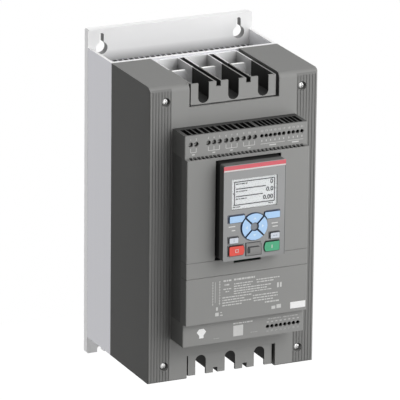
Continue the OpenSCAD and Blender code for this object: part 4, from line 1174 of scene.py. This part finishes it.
key_front = -232.2
key_finishes = {
    "key_blue": ((0.42, 0.64, 0.92), (0.045, 0.085, 0.2)),
    "key_grey": ((0.62, 0.66, 0.73), (0.05, 0.055, 0.07)),
    "key_red": ((0.72, 0.06, 0.04), (0.1, 0.008, 0.006)),
    "key_green": ((0.045, 0.36, 0.18), (0.006, 0.05, 0.025)),
}
key_slots = {
    slot: (key_plastic(slot + "_top", top), key_plastic(slot + "_wall", wall))
    for slot, (top, wall) in key_finishes.items()
}
key_nodes = [node for node in slot_of if slot_of[node] in key_slots]
print_room = 0.05
for node in key_nodes:
    top_finish, wall_shade_finish = key_slots[slot_of[node]]
    cap = finish_node(node, top_finish, 0.35, [wall_shade_finish], key_wall)
    for corner in cap.data.vertices:
        corner.co.y = max(corner.co.y, (key_front + print_room) * MM)

sign_blue = printed_ink("sign_blue", (0.66, 0.8, 0.95))
sign_reach = 9.6
for quarter, name in enumerate(("up", "left", "down", "right")):
    angle = quarter * math.pi / 2
    arrow = bmesh.new()
    add_field(arrow, [
        (x * math.cos(angle) - z * math.sin(angle), ring_z + x * math.sin(angle) + z * math.cos(angle))
        for x, z in ((-2.1, sign_reach - 1.2), (2.1, sign_reach - 1.2), (0, sign_reach + 1.4))
    ], key_front + print_room)
    place_print("arrow_" + name, arrow, sign_blue, "nav_key_" + name, "key_grey")


def key_sign(node, finish, bars):
    """Printed bars on a key, placed from the middle of its cap."""
    shape = bmesh.new()
    low, high = box_mm(node)
    middle = (low + high) / 2
    for x0, x1, z0, z1 in bars:
        add_bar(shape, middle.x + x0, middle.x + x1, middle.z + z0, middle.z + z1, key_front + print_room)
    place_print(node + "_sign", shape, finish, node, "key_grey")


sign_grey = printed_ink("sign_grey", (0.3, 0.33, 0.4))
sign_white = printed_ink("sign_white", (0.62, 0.6, 0.58))
key_sign("info_key", sign_grey, [(-0.35, 0.35, -1.5, 0.5), (-0.35, 0.35, 0.9, 1.6)])
key_sign("local_key", sign_grey, [(-2.4, -0.5, -0.5, 0.5), (0.5, 2.4, -0.5, 0.5)])
key_sign("stop_key", sign_white, [
    (-1.9, 1.9, 1.3, 1.9), (-1.9, 1.9, -1.9, -1.3), (-1.9, -1.3, -1.3, 1.3), (1.3, 1.9, -1.3, 1.3),
])
key_sign("start_key", sign_white, [(-0.4, 0.4, -1.9, 1.9)])


# Lid of the service socket
# A small hinged lid below the arrow keys, with a raised grip, that swings down over its lower edge.
# It is moulded in the overlay's grey.
lid_front, grip_front = -230.5, -231.7


def grip_wall(corners, normal):
    """The walls of the raised grip, painted dark as shade against its front."""
    return 1 if any(corner.y < lid_front - 0.1 for corner in corners) and normal.y > -0.9 else 0


lid_grey = moulded_plastic("lid_grey", (0.25, 0.25, 0.245), 0.45, 0.58, 0.3)
grip_shade = moulded_plastic("grip_shade", (0.03, 0.03, 0.028), 0.55, 0.7, 0.2)
finish_node("usb_flap", lid_grey, 0.2, [grip_shade], grip_wall)

# Painted shadow lines that make the grip look as deep as the keys
grip_side, grip_foot, grip_head = 7.1, -12.45, -6.25
lid_lines = bmesh.new()
add_bar(lid_lines, -grip_side + 0.3, -grip_side + 2.3, grip_foot + 0.4, grip_head - 0.3, grip_front)
add_bar(lid_lines, -grip_side, grip_side - 1.2, grip_head, grip_head + 1.0, lid_front)
place_print("lid_lines", lid_lines, dark_ink, "usb_flap", "keypad_shell")


# Studio
# A pale floor far below the unit, and a surround that is white to the eye, to metal and to glass but lights
# matt surfaces only faintly. A broad lamp in front to the right does most of the work; weaker ones stand
# high in front, above behind, and behind to the left.
ambient = 0.032
world = bpy.data.worlds.new("white surround")
world.use_nodes = True
bpy.context.scene.world = world


def seen_directly(tree):
    """One for rays from the camera and for those that metal and glass send on, else nought."""
    path = tree.nodes.new("ShaderNodeLightPath").outputs
    either = calculate(tree, "MAXIMUM", path["Is Camera Ray"], path["Is Glossy Ray"])
    return calculate(tree, "MAXIMUM", either, path["Is Transmission Ray"])


sky = world.node_tree.nodes["Background"]
sky.inputs["Color"].default_value = (1, 1, 1, 1)
sky_level = ramp(world.node_tree, seen_directly(world.node_tree), 0, 1, ambient, 1)
world.node_tree.links.new(sky_level, sky.inputs["Strength"])

floor_drop = 420 * MM
floor_side = 2.4
floor_mesh = bpy.data.meshes.new("floor")
floor_z = cad_box[0][2] - floor_drop
floor_mesh.from_pydata(
    [(x * floor_side / 2, y * floor_side / 2, floor_z) for x, y in ((-1, -1), (1, -1), (1, 1), (-1, 1))],
    [], [(0, 1, 2, 3)],
)
floor = show(bpy.data.objects.new("floor", floor_mesh))
paper = bpy.data.materials.new("white paper")
paper.use_nodes = True
paper_tree = paper.node_tree
paper_tree.nodes.remove(paper_tree.nodes["Principled BSDF"])
matt = add_node(paper_tree, "ShaderNodeBsdfDiffuse", Color=(0.35, 0.35, 0.35, 1))
glow_level = ramp(paper_tree, seen_directly(paper_tree), 0, 1, 0, 0.92)
glow = add_node(paper_tree, "ShaderNodeEmission", Strength=glow_level)
both = paper_tree.nodes.new("ShaderNodeAddShader")
paper_tree.links.new(matt.outputs[0], both.inputs[0])
paper_tree.links.new(glow.outputs[0], both.inputs[1])
paper_tree.links.new(both.outputs[0], paper_tree.nodes["Material Output"].inputs["Surface"])
floor_mesh.materials.append(paper)


def soft_lamp(name, azimuth, elevation, distance, side, power):
    """A square lamp that faces the unit's middle."""
    lamp = bpy.data.lights.new(name, "AREA")
    lamp.size = side
    lamp.energy = power
    holder = show(bpy.data.objects.new(name, lamp))
    towards = direction(math.radians(azimuth), math.radians(elevation))
    holder.location = (Vector(cad_box[0]) + Vector(cad_box[1])) / 2 + towards * distance
    holder.rotation_euler = towards.to_track_quat("Z", "Y").to_euler()


soft_lamp("broad lamp", 31, 12, 2.2, 2.7, 51)
soft_lamp("high lamp", 15, 42, 1.5, 0.9, 6.4)
soft_lamp("lamp above", 180, 60, 1.7, 1.2, 6)
soft_lamp("faint lamp behind", -130, 12, 2.2, 1.0, 1.3)
bpy.context.scene.view_settings.view_transform = "Standard"
